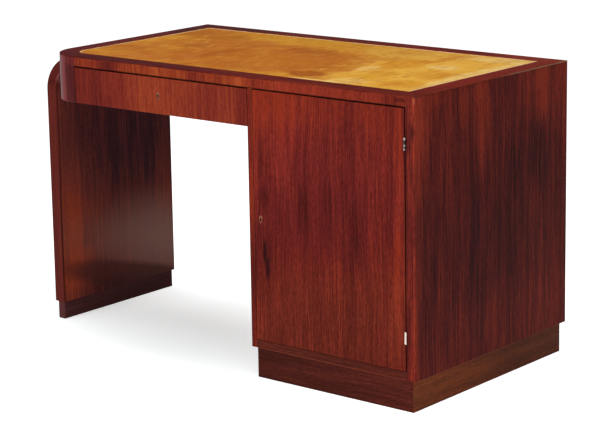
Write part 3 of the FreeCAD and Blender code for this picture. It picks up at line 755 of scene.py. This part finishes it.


# Colour of painted shade along gaps and in keyholes
GAP_SHADE_COLOUR = "1a0908"
# Painted shade in the drawer's and the door's keyholes
KEYHOLE_PAINTED_SHADE = (
    FACADE.stain((-151.5, 673.5), (2.4, 5.5), 0.6, GAP_SHADE_COLOUR, ragged=0.3, soft=0.3),
    FACADE.stain((179.5, 402.5), (2.4, 5.5), 0.9, GAP_SHADE_COLOUR, ragged=0.3, soft=0.3),
)
# Painted dark reflection over the middle and lower part of the upper hinge
HINGE_PAINTED_DARK_REFLECTION = (
    Stain((616, -320, 643), (9, 30, 6), 0.9, ragged=0.8, soft=0.3, colour="120b0c"),
    Stain((616, -320, 631), (9, 30, 3), 0.8, ragged=0.8, soft=0.3, colour="120b0c"),
)
DOOR_FIGURE = Figure(marks=DOOR.marks(
    (205, 690, 110, 85, 0.20), (340, 700, 260, 55, 0.10), (158, 580, 14, 180, 0.20),
    (236, 575, 34, 170, 0.15), (283, 480, 12, 300, 0.16), (352, 520, 14, 200, 0.16),
    (422, 420, 9, 240, 0.12), (510, 560, 12, 200, 0.12), (548, 590, 26, 110, 0.10),
    (600, 400, 18, 260, 0.40), (370, 405, 220, 100, -0.14), (430, 520, 220, 150, -0.05),
    (310, 445, 22, 60, -0.20), (388, 450, 14, 80, -0.20), (470, 420, 18, 60, -0.16),
    (190, 455, 12, 34, -0.36), (184, 560, 10, 46, -0.16), (178, 300, 34, 95, -0.28),
    (380, 170, 110, 110, -0.08),
), stains=(
    DOOR.stain((380, 140), (330, 160), 0.60, "66271a", rise=(-0.2, 0.0, 1.0), blend=Blend.TINT),
    DOOR.stain((370, 500), (230, 150), 0.70, "6a201d", blend=Blend.TINT),
    DOOR.stain((190, 325), (6, 30), 0.85, "1e0a0a", soft=0.5),
    DOOR.stain((197, 284), (6, 30), 0.85, "1e0a0a", soft=0.5),
), gap_shade_lifts=(
    # lightens the painted gap shade on the door's right edge to a dark red
    Stain((615, FRONT, 380), (3, 14, 330), 0.70, ragged=0.3, soft=0.5, colour="6a2a20"),
))
SIDE_FIGURE_AND_PAINTED_LIGHT = Figure(marks=(
    *FLANK.marks(
        (-300, 700, 36, 140, 0.32), (-316, 240, 12, 200, 0.24), soft=0.9),
    *FLANK.marks(
        (-45, 650, 34, 120, 0.36), (-120, 705, 24, 50, 0.30), (130, 710, 40, 55, 0.18),
        (208, 695, 30, 75, 0.46), (290, 690, 30, 100, 0.26), (-62, 728, 26, 24, 0.22),
        (194, 728, 24, 24, 0.22), (165, 410, 22, 60, 0.10), (120, 140, 260, 90, 0.10),
        (0, 430, 340, 150, -0.12)),
    *FLANK.marks(
        (-75, 420, 18, 160, -0.14), (66, 350, 34, 190, -0.26), (-108, 415, 14, 60, -0.14),
        (-238, 590, 18, 120, -0.14), (-268, 290, 24, 170, -0.10), (-235, 735, 40, 20, 0.16),
        (110, 520, 40, 90, -0.12), (195, 545, 50, 60, -0.24), (222, 480, 20, 50, -0.16),
        (-150, 270, 75, 130, -0.18), soft=0.9),
    Mark((628, FRONT, 420), (13, 4, 900), -0.10),
    Mark((630, FRONT, 654), (14, 4, 30), -0.24),
    Mark((632, FRONT, 550), (5, 4, 90), 0.10),
), stains=(
    FLANK.stain((290, 350), (40, 600), 0.70, "78251c", blend=Blend.TINT),
    # Painted light: a brighter band added along the side's front edge, strongest near the top
    Stain((645.5, -306, 680), (5, 34, 130), 0.90, soft=0.9, colour="6c2618", blend=Blend.GLOW),
    Stain((645.5, -314, 330), (5, 16, 400), 0.36, soft=0.9, colour="6c2618", blend=Blend.GLOW),
    Stain((SIDE, FRONT, 740), (2.2, 2.4, 7), 0.55, ragged=0.4, colour="cc8858"),
    FACADE.stain((637.5, 667), (4.5, 18), 0.75, "2e1112", ragged=0.8),
    FACADE.stain((639.5, 694), (1.8, 20), 0.75, "2e1112", ragged=0.8),
    # Painted shade along the gap beside the door's right edge
    Stain((617.5, FRONT, 400), (5, 30, 400), 0.50, ragged=0.4, soft=0.8, colour="34120f"),
))
STILE_FIGURE = Figure(marks=(
    Mark((150, FRONT, 420), (20, 8, 100), 0.30),
    Mark((150, FRONT, 280), (20, 8, 110), -0.30),
), stains=(
    Stain((142.5, FRONT, 400), (3, 6, 600), 0.50, ragged=0.6, soft=0.6, colour="4a1a16"),
), gap_shade_lifts=(
    # lightens the painted gap shade on the stile's inner edge beside the door
    Stain((158, FRONT, 580), (3, 14, 240), 0.75, ragged=0.3, soft=0.5, colour="7c3020"),
))
DRAWER_FIGURE = Figure(marks=(
    *FACADE.marks(
        (-400, 675, 120, 300, -0.18), (-175, 675, 50, 300, 0.20), (-70, 675, 40, 300, 0.14),
        ragged=0.6, soft=0.9),
    *FACADE.marks(
        (85, 675, 12, 300, 0.10), (-20, 680, 14, 60, -0.14), (-335, 640, 30, 20, -0.12),
        (128, 675, 14, 300, -0.16)),
))
FRIEZE_FIGURE_AND_GAP_SHADE = Figure(marks=(
    FACADE.mark((-432, 735), (16, 300), -0.18, ragged=0.6),
    *(FACADE.mark((across, 735), (wide, 300), amount) for across, wide, amount in (
        (-325, 30, -0.34), (-110, 56, 0.24), (-40, 20, -0.26), (100, 48, 0.24),
        (122, 14, 0.14), (166, 14, -0.24), (275, 50, 0.20), (575, 34, -0.30))),
), stains=(
    FACADE.stain((420, 735), (250, 100), 0.85, "822a1c", blend=Blend.TINT),
    FACADE.stain((612, 739), (20, 5), 0.60, "2e1112"),
    Stain((SIDE, FRONT, 741), (2.4, 2.6, 7), 0.80, ragged=0.4, colour="d4905f"),
    # Painted shade along the gap under the frieze, above the drawer and the door
    Stain((0, FRONT, 724), (2000, 200, 1.6), 0.9, ragged=0.3, soft=0.5, colour=GAP_SHADE_COLOUR),
))
BORDER_FIGURE = Figure(stains=(
    border_stain(Grain.LENGTHWISE, (-300, -292), (330, 60), 0.75, "4a191a"),
    border_stain(Grain.FRONT_TO_BACK, (-531, 20), (40, 420), 0.60, "562224"),
    border_stain(Grain.LENGTHWISE, (-250, 296), (300, 40), 0.50, "5e2a24"),
    border_stain(Grain.FRONT_TO_BACK, (-531, 220), (40, 90), 0.50, "361a19"),
    border_stain(Grain.LENGTHWISE, (-395, 296), (100, 40), 0.50, "361a19"),
    border_stain(Grain.LENGTHWISE, (540, 296), (90, 40), 0.50, "8c3826"),
    border_stain(Grain.LENGTHWISE, (500, -292), (240, 60), 0.55, "521210"),
    border_stain(Grain.FRONT_TO_BACK, (620, -80), (60, 160), 0.60, "7a2219"),
    BORDER.stain((SIDE, -140), (1.2, 230), 0.40, "9c4a34", ragged=0.9),
    BORDER.stain((SIDE, 220), (1.1, 150), 0.50, "c89a78", ragged=0.9),
))
POST_FIGURE_AND_HIGHLIGHT = Figure(marks=(
    Mark((-495, -308, 690), (13, 60, 300), 0.58, ragged=0.3),
    Mark((-460, FRONT, 690), (22, 40, 300), -0.08, ragged=0.3),
    Mark((-462, FRONT, 738), (24, 40, 13), 0.20),
), stains=(
    # Painted highlight: a pale band down the post's rounded left side, standing for the reflection at its
    # limb
    Stain((-545, -268, 690), (12, 34, 300), 0.55, ragged=0.3, soft=0.9, colour="96504c"),
))
LEG_FIGURE_AND_PAINTED_LIGHT = Figure(marks=(
    # Painted shade over the upper part of the slab's inner face, under the top
    LEG.mark((20, 520), (330, 190), -0.36),
    *LEG.marks(
        (-150, 340, 60, 190, 0.10), (-205, 210, 46, 290, 0.34), (-215, 60, 36, 60, 0.06), soft=0.9),
    # Painted light: lighter along a band rising toward the back, low on the face
    LEG.mark((-150, 160), (80, 24), 0.14, rise=(0.0, -0.33, 1.0), soft=0.9),
    *LEG.marks(
        (30, 240, 30, 40, -0.10), (30, 370, 60, 120, -0.12), (130, 430, 30, 60, -0.08), soft=0.9),
    # Painted shade: darker just above the foot toward the front, with the painted reflection of the shadowed
    # floor
    LEG.mark((-60, 55), (170, 26), -0.24),
), stains=(
    # Painted reflection of the lit floor behind the desk: a pale haze low at the back of the inner face, and
    # a faint one further forward
    LEG.stain((215, 140), (205, 95), 0.80, "a67e74", rise=(0.0, 0.2, 1.0), ragged=0.3, soft=0.9),
    LEG.stain((-40, 190), (200, 56), 0.14, "a67e74", rise=(0.0, 0.2, 1.0), ragged=0.3, soft=0.9),
    # Painted reflection of the shadowed floor: a dark wedge along the foot of the inner face
    LEG.stain((130, 36), (360, 46), 0.75, "4c2826", rise=(0.0, 0.29, 1.0), ragged=0.2, soft=0.25),
    Stain((-625, -230, 380), (40, 5, 900), 0.80, ragged=0.3, soft=0.2, colour="511914"),
    Stain((-630, -225, 705), (26, 130, 60), 0.85, ragged=0.2, soft=0.2, colour="4a1816"),
    # Painted shade: a dark line down the inner front arris, in the gap-shade colour
    Stain((LEG_FACE, -230, 200), (3, 3, 170), 0.70, ragged=0.9, colour=GAP_SHADE_COLOUR),
    # Painted highlight: a small pale spot on the inner face beside the corner post
    Stain((LEG_FACE, -218, 668), (2, 8, 16), 0.55, ragged=0.3, colour="a07070"),
))
FOOT_FIGURE = Figure(marks=(
    Mark((LEG_FACE, 90, 24), (20, 190, 60), -0.45, soft=0.9),
))
RAIL_PAINTED_HIGHLIGHT = Figure(stains=(
    # Painted highlight: a light line along the rail's lower arris
    FACADE.stain((380, 79), (900, 1.2), 0.60, "843a28", ragged=0.6, soft=0.4),
))
PLINTH_FIGURE_AND_PAINTED_SHADE = Figure(marks=(
    # Painted shade: darker band along the top of the plinth's front, under the rail
    Mark((210, -310, 62), (150, 30, 16), -0.30),
    Mark((580, -310, 40), (70, 30, 200), 0.16),
))
PLINTH_END_FIGURE = Figure(marks=(
    Mark((630, -240, 40), (30, 180, 200), 0.20),
    Mark((630, 230, 40), (30, 170, 200), -0.26),
))
# Middle, reach, amount and colour of each patch on the hide, and how ragged a plainer one is
HIDE_STAINS = tuple(hide_stain(row[:2], row[2:4], *row[4:]) for row in (
    (-60, 215, 250, 62, 0.75, "c98e2c"), (-20, -70, 320, 190, 0.70, "b0601d"),
    (-170, -50, 24, 130, 0.42, "9a4a17"), (10, 95, 80, 42, 0.42, "9a4e17"),
    (-300, 0, 52, 38, 0.42, "984c17"), (-400, 170, 105, 66, 0.50, "a4581c"),
    (-440, -140, 80, 60, 0.40, "a4581c"), (-330, 150, 60, 40, 0.40, "a4581c"),
    (490, 0, 235, 420, 0.92, "e6ae44"), (270, 195, 165, 72, 0.70, "d6a244"),
    (232, -196, 50, 40, 0.85, "9c4c14"), (258, -100, 32, 60, 0.60, "b86c1c"),
    (335, 50, 52, 90, 0.80, "d08e26"), (385, -120, 42, 66, 0.75, "d6982a"),
    (382, 160, 15, 80, 0.70, "cc8222", 0.8), (510, -190, 52, 46, 0.90, "d8962a"),
    (502, -48, 62, 48, 0.70, "d4942a"), (245, 195, 34, 20, 0.65, "c88c2a"),
    (578, 60, 30, 260, 0.75, "ecc878"), (500, 225, 95, 36, 0.70, "ecc878"),
    (450, 60, 44, 28, 0.60, "ecc878"), (303, -45, 20, 44, 0.60, "e6c070"),
    (380, -225, 48, 36, 0.50, "ecc878"), (300, -256, 70, 13, 0.70, "ecc878"),
))


class Workshop:
    """Hands out the desk's materials and dresses nodes with them."""

    def __init__(self) -> None:
        """Build the shared effects and the materials that have no grain."""
        self.effects = Effects()
        self.leather = HideFinish().make(self.effects, HIDE_STAINS)
        self.edge = EdgeFinish().make()
        self.brass = BRASS.make(self.effects)
        self.key_brass = KEY_BRASS.make(self.effects, KEYHOLE_PAINTED_SHADE)
        self.nickel_lit_copy = NICKEL_LIT_COPY.make(self.effects)
        self.nickel_shaded_copy = NICKEL_SHADED_COPY.make(self.effects, HINGE_PAINTED_DARK_REFLECTION)
        self.steel = STEEL.make(self.effects)

    def dress(self, material: bpy.types.Material, *nodes: str) -> None:
        """Put a material on every slot of some nodes.

        Args:
            material: The material.
            nodes: Names of the nodes.
        """
        for name in nodes:
            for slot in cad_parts[name].material_slots:
                slot.material = material
            LOG.info("dressed %s with %s", name, material.name)

    def cut(self, finish: WoodFinish, grain: Grain, seed: float, *nodes: str,
            figure: Figure = Figure()) -> None:
        """Dress nodes with wood of one finish, grain direction, place in the log and figure."""
        self.dress(finish.make(self.effects, grain, seed, figure), *nodes)


@dataclass
class SubAssembly:
    """A part of the desk that the workshop dresses."""

    shop: Workshop


@dataclass
class TopBoard(SubAssembly):
    """Leather-lined top: core, border strips, inset and the rails at its edges."""

    line_width: float = 6.0 * MM
    front_line_width: float = 3.0 * MM
    line_lift: float = 0.12 * MM
    corner_radius: float = 47.8 * MM
    corner_steps: int = 16

    def inset_outline(self, inward: float, front_inward: float) -> list[Pair]:
        """Work out the inset's outline, rounded at its front left corner.

        Args:
            inward: Distance to draw the outline in from the inset's sides and back.
            front_inward: Distance to draw it in from the front.

        Returns:
            Corner points in plan, from the back left, round by the front to the back right.
        """
        low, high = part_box("leather_inset")
        radius = self.corner_radius
        middle = (low[0] + radius, low[1] + radius)
        turns = [math.pi * (1 + step / self.corner_steps / 2) for step in range(self.corner_steps + 1)]
        rounded = [(middle[0] + (radius - inward) * math.cos(turn),
                    middle[1] + (radius - front_inward) * math.sin(turn)) for turn in turns]
        right, back = high[0] - inward, high[1] - inward
        return [(low[0] + inward, back), *rounded, (right, low[1] + front_inward), (right, back)]

    def build_edge_line(self) -> None:
        """Build the pale line along the inset's edge as a thin closed ribbon."""
        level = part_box("leather_inset")[1][2]
        outer = self.inset_outline(0.0, 0.0)
        inner = self.inset_outline(self.line_width, self.front_line_width)
        low, high = level - self.line_lift, level + self.line_lift
        form = bmesh.new()
        rings = [[form.verts.new((x, y, height)) for x, y in outline]
                 for outline, height in ((outer, low), (outer, high), (inner, high), (inner, low))]
        for ring, following in zip(rings, rings[1:] + rings[:1]):
            for index in range(len(ring)):
                form.faces.new((ring[index - 1], ring[index], following[index], following[index - 1]))
        bmesh.ops.recalc_face_normals(form, faces=form.faces)
        mesh = bpy.data.meshes.new("leather_edge_line")
        form.to_mesh(mesh)
        form.free()
        mesh.materials.append(self.shop.edge)
        line = add_object("leather_edge_line", mesh)
        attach(line, "carcase")
        LOG.info("built %s", line.name)

    def make(self) -> None:
        """Give each piece of the top its finish."""
        for grain, seed, strips in ((Grain.LENGTHWISE, 1.3, ("front", "back")),
                                    (Grain.FRONT_TO_BACK, 2.1, ("left", "right")),
                                    (Grain.LENGTHWISE, 4.7, ("corner",))):
            nodes = [f"border_{strip}" for strip in strips]
            self.shop.cut(BORDER_WOOD, grain, seed, *nodes, figure=BORDER_FIGURE)
        self.shop.dress(self.shop.leather, "leather_inset")
        self.shop.cut(FRIEZE_ROSEWOOD, Grain.UPRIGHT, 3.2, "frieze_rail", figure=FRIEZE_FIGURE_AND_GAP_SHADE)
        self.shop.cut(ROSEWOOD, Grain.UPRIGHT, 5.6, "back_rail")
        self.shop.cut(CORE_WOOD, Grain.LENGTHWISE, 0.4, "top_core")
        self.build_edge_line()


class DrawerCase(SubAssembly):
    """Case round the drawer: bent corner post, end panel, apron and the drawer's guides."""

    def make(self) -> None:
        """Give each piece of the case its finish."""
        self.shop.cut(POST_ROSEWOOD, Grain.UPRIGHT, 7.9, "corner_post", "end_panel", figure=POST_FIGURE_AND_HIGHLIGHT)
        self.shop.cut(ROSEWOOD, Grain.UPRIGHT, 5.7, "back_apron")
        self.shop.cut(CORE_WOOD, Grain.FRONT_TO_BACK, 0.8, "drawer_cheek", "end_soffit")
        self.shop.cut(OAK, Grain.FRONT_TO_BACK, 1.1, "drawer_runner_left", "drawer_runner_right",
                      "drawer_kicker_left", "drawer_kicker_right", "drawer_stops")
        self.shop.dress(self.shop.brass, "drawer_strike")


class Drawer(SubAssembly):
    """Dovetailed drawer with its lock."""

    def make(self) -> None:
        """Give each piece of the drawer its finish."""
        self.shop.cut(DRAWER_ROSEWOOD, Grain.UPRIGHT, 6.4, "drawer_front", figure=DRAWER_FIGURE)
        self.shop.cut(OAK, Grain.FRONT_TO_BACK, 2.6, "drawer_side_left", "drawer_side_right")
        self.shop.cut(OAK, Grain.LENGTHWISE, 3.3, "drawer_back", "drawer_bottom")
        self.shop.dress(self.shop.key_brass, "drawer_escutcheon")
        self.shop.dress(self.shop.brass, "drawer_lock_case", "drawer_lock_bolt")
        self.shop.dress(self.shop.steel, "drawer_lock_screws")


class Pedestal(SubAssembly):
    """Cupboard carcase with its shelves, and the plinth under it."""

    def make(self) -> None:
        """Give each piece of the pedestal its finish."""
        self.shop.cut(SIDE_ROSEWOOD, Grain.UPRIGHT, 9.5, "pedestal_side_right", figure=SIDE_FIGURE_AND_PAINTED_LIGHT)
        self.shop.cut(ROSEWOOD, Grain.UPRIGHT, 8.2, "pedestal_side_left", figure=STILE_FIGURE)
        self.shop.cut(ROSEWOOD, Grain.UPRIGHT, 5.8, "pedestal_back")
        self.shop.cut(RAIL_WOOD, Grain.LENGTHWISE, 4.4, "pedestal_bottom", figure=RAIL_PAINTED_HIGHLIGHT)
        self.shop.cut(OAK, Grain.LENGTHWISE, 5.2, "shelf_lower", "shelf_upper")
        self.shop.cut(OAK, Grain.FRONT_TO_BACK, 6.2, "shelf_bearers")
        self.shop.dress(self.shop.brass, "door_strike")
        self.shop.cut(PLINTH_WOOD, Grain.LENGTHWISE, 2.8, "plinth_front", "plinth_back", figure=PLINTH_FIGURE_AND_PAINTED_SHADE)
        self.shop.cut(PLINTH_END_WOOD, Grain.FRONT_TO_BACK, 3.6, "plinth_left", "plinth_right",
                      figure=PLINTH_END_FIGURE)
        self.shop.cut(CORE_WOOD, Grain.UPRIGHT, 1.7, "plinth_blocks")


class CupboardDoor(SubAssembly):
    """Door with its lock and its two butt hinges."""

    def make(self) -> None:
        """Give each piece of the door and its hinges its finish."""
        self.shop.cut(ROSEWOOD, Grain.UPRIGHT, 12.3, "door_panel", figure=DOOR_FIGURE)
        self.shop.dress(self.shop.key_brass, "door_escutcheon")
        self.shop.dress(self.shop.brass, "door_lock_case", "door_lock_bolt")
        self.shop.dress(self.shop.steel, "door_lock_screws", "hinge_frame_screws", "hinge_door_screws")
        # the lower hinge takes the lit copy of the nickel and the upper hinge the shaded copy
        for hinge, nickel in (("lower", self.shop.nickel_lit_copy), ("upper", self.shop.nickel_shaded_copy)):
            parts = [f"hinge_{hinge}_{part}" for part in ("frame_leaf", "door_leaf", "pin")]
            self.shop.dress(nickel, *parts)


class SlabLeg(SubAssembly):
    """Slab leg with its foot, spacer and bolts."""

    def make(self) -> None:
        """Give each piece of the leg its finish."""
        self.shop.cut(LEG_ROSEWOOD, Grain.UPRIGHT, 14.1, "leg_panel", figure=LEG_FIGURE_AND_PAINTED_LIGHT)
        self.shop.cut(FOOT_WOOD, Grain.FRONT_TO_BACK, 7.7, "leg_foot", figure=FOOT_FIGURE)
        self.shop.cut(ROSEWOOD, Grain.UPRIGHT, 3.9, "leg_spacer")
        self.shop.dress(self.shop.steel, "leg_bolts")


@dataclass
class SoftLamp:
    """One soft studio lamp."""

    name: str
    place: Triple
    aim: Triple
    width: float
    height: float
    power: float

    def make(self) -> None:
        """Make the lamp and turn it to what it lights."""
        data = bpy.data.lights.new(self.name, "AREA")
        data.shape = "RECTANGLE"
        data.size = self.width
        data.size_y = self.height
        data.energy = self.power
        lamp = add_object(self.name, data)
        lamp.location = self.place
        lamp.rotation_euler = (Vector(self.aim) - Vector(self.place)).to_track_quat("-Z", "Y").to_euler()


@dataclass
class Studio:
    """White floor and background, soft lamps, and the camera at the photograph's place."""

    camera_place: Triple = (3.4516, -4.1074, 1.5723)
    yaw: float = 39.698
    pitch: float = 11.553
    roll: float = -0.969
    focal_pixels: float = 2120.9
    sensor_width: float = 36.0
    principal_row: float = 160.0
    floor_half: float = 14.0
    floor_colour: Shade = (0.84, 0.90, 0.92, 1.0)
    # Oval under the desk where the floor glows less, a painted shadow that deepens the cast one
    shadow_middle: Triple = (-0.286, -0.165, 0.0)
    shadow_turn: float = 11.5
    shadow_reach: Triple = (0.61, 0.267, 1.0)
    shadow_inner: float = 0.21
    shadow_outer: float = 1.8
    shadow_glow: float = 0.459
    floor_glow: float = 0.92
    fill: float = 0.16
    wall_white: float = 1.0
    ceiling_dim: float = 0.05
    wall_rise: float = 0.5
    wall_fade: float = 4.5
    lamps: list[SoftLamp] = field(default_factory=lambda: [
        SoftLamp("key_lamp", (-1.0, -4.2, 1.2), (0.1, 0.0, 0.40), 2.4, 1.6, 86.0),
        SoftLamp("top_lamp", (0.0, -0.2, 2.8), (0.0, 0.0, 0.0), 3.0, 2.2, 53.0),
        SoftLamp("side_lamp", (3.2, -3.0, 0.9), (0.0, 0.0, 0.35), 1.6, 1.2, 26.0),
    ])

    def make_camera(self) -> None:
        """Make the camera from its place, its angles and the photograph's focal length."""
        yaw, pitch, roll = (math.radians(angle) for angle in (self.yaw, self.pitch, self.roll))
        ahead = Vector((-math.sin(yaw) * math.cos(pitch), math.cos(yaw) * math.cos(pitch), -math.sin(pitch)))
        level = Vector((math.cos(yaw), math.sin(yaw), 0.0))
        upright = level.cross(ahead)
        right = level * math.cos(roll) + upright * math.sin(roll)
        up = upright * math.cos(roll) - level * math.sin(roll)
        data = bpy.data.cameras.new("photo_camera")
        data.sensor_fit = "HORIZONTAL"
        data.sensor_width = self.sensor_width
        data.lens = self.focal_pixels / IMAGE_WIDTH * self.sensor_width
        data.shift_y = (self.principal_row - IMAGE_HEIGHT / 2) / IMAGE_WIDTH
        camera = add_object("photo_camera", data)
        turn = Matrix((right, up, -ahead)).transposed().to_4x4()
        camera.matrix_world = Matrix.Translation(self.camera_place) @ turn
        bpy.context.scene.camera = camera

    def seen(self, tree: ShaderTree) -> Socket:
        """Tell the rays of the eye, of reflections and through glass from the rest.

        Args:
            tree: Tree of the floor or the world.

        Returns:
            One for those rays, and nothing for the rest.
        """
        path = tree.node("LightPath").outputs
        direct = tree.math("ADD", path["Is Camera Ray"], path["Is Glossy Ray"])
        every = {0: direct, 1: path["Is Transmission Ray"]}
        return tree.node("Math", every, operation="ADD", use_clamp=True).outputs[0]

    def make_world(self) -> None:
        """Make a low white wall under a dim ceiling, and a plain fill for soft light."""
        world = bpy.data.worlds.new("white_room")
        tree = bare_tree(world)
        height = tree.node("SeparateXYZ", {0: tree.node("TexCoord").outputs["Generated"]}).outputs[2]
        low, high = math.sin(math.radians(self.wall_rise)), math.sin(math.radians(self.wall_fade))
        wall = tree.step(height, low, high, self.wall_white, self.ceiling_dim)
        strength = tree.node("Mix", {0: self.seen(tree), 2: self.fill, 3: wall}, data_type="FLOAT").outputs[0]
        back = tree.node("Background", {"Color": WHITE, "Strength": strength})
        tree.node("OutputWorld", {"Surface": back.outputs[0]})
        bpy.context.scene.world = world

    def make_floor(self) -> None:
        """Make the pale floor, which keeps the desk's cast shadow and glows less in an oval under the desk, a
        painted shadow that deepens it.
        """
        half = self.floor_half
        corners = [(-half, -half, 0), (half, -half, 0), (half, half, 0), (-half, half, 0)]
        mesh = bpy.data.meshes.new("studio_floor")
        mesh.from_pydata(corners, [], [(0, 1, 2, 3)])
        floor = add_object("studio_floor", mesh)
        material, tree = new_material("pale_floor")
        lit = tree.node("BsdfDiffuse", {"Color": self.floor_colour})
        offset = tree.vector("SUBTRACT", tree.place(), self.shadow_middle)
        turned = tree.node("VectorRotate", {"Vector": offset, "Angle": math.radians(self.shadow_turn)},
                           rotation_type="Z_AXIS").outputs[0]
        away = tree.length(tree.vector("DIVIDE", turned, self.shadow_reach))
        glow_with_painted_shadow = tree.step(away, self.shadow_inner, self.shadow_outer, self.shadow_glow, self.floor_glow)
        strength = tree.times(self.seen(tree), glow_with_painted_shadow)
        glow = tree.node("Emission", {"Color": WHITE, "Strength": strength})
        both = tree.node("AddShader", {0: lit.outputs[0], 1: glow.outputs[0]})
        tree.node("OutputMaterial", {"Surface": both.outputs[0]})
        mesh.materials.append(material)

    def make(self) -> None:
        """Set up the whole studio."""
        bpy.context.scene.view_settings.view_transform = "Standard"
        self.make_camera()
        self.make_world()
        self.make_floor()
        for lamp in self.lamps:
            lamp.make()


def main() -> None:
    """Dress the desk and set up the studio."""
    logging.basicConfig(level=logging.INFO)
    shop = Workshop()
    for part in (TopBoard, DrawerCase, Drawer, Pedestal, CupboardDoor, SlabLeg):
        part(shop).make()
    Studio().make()


if __name__ == "__main__":
    main()
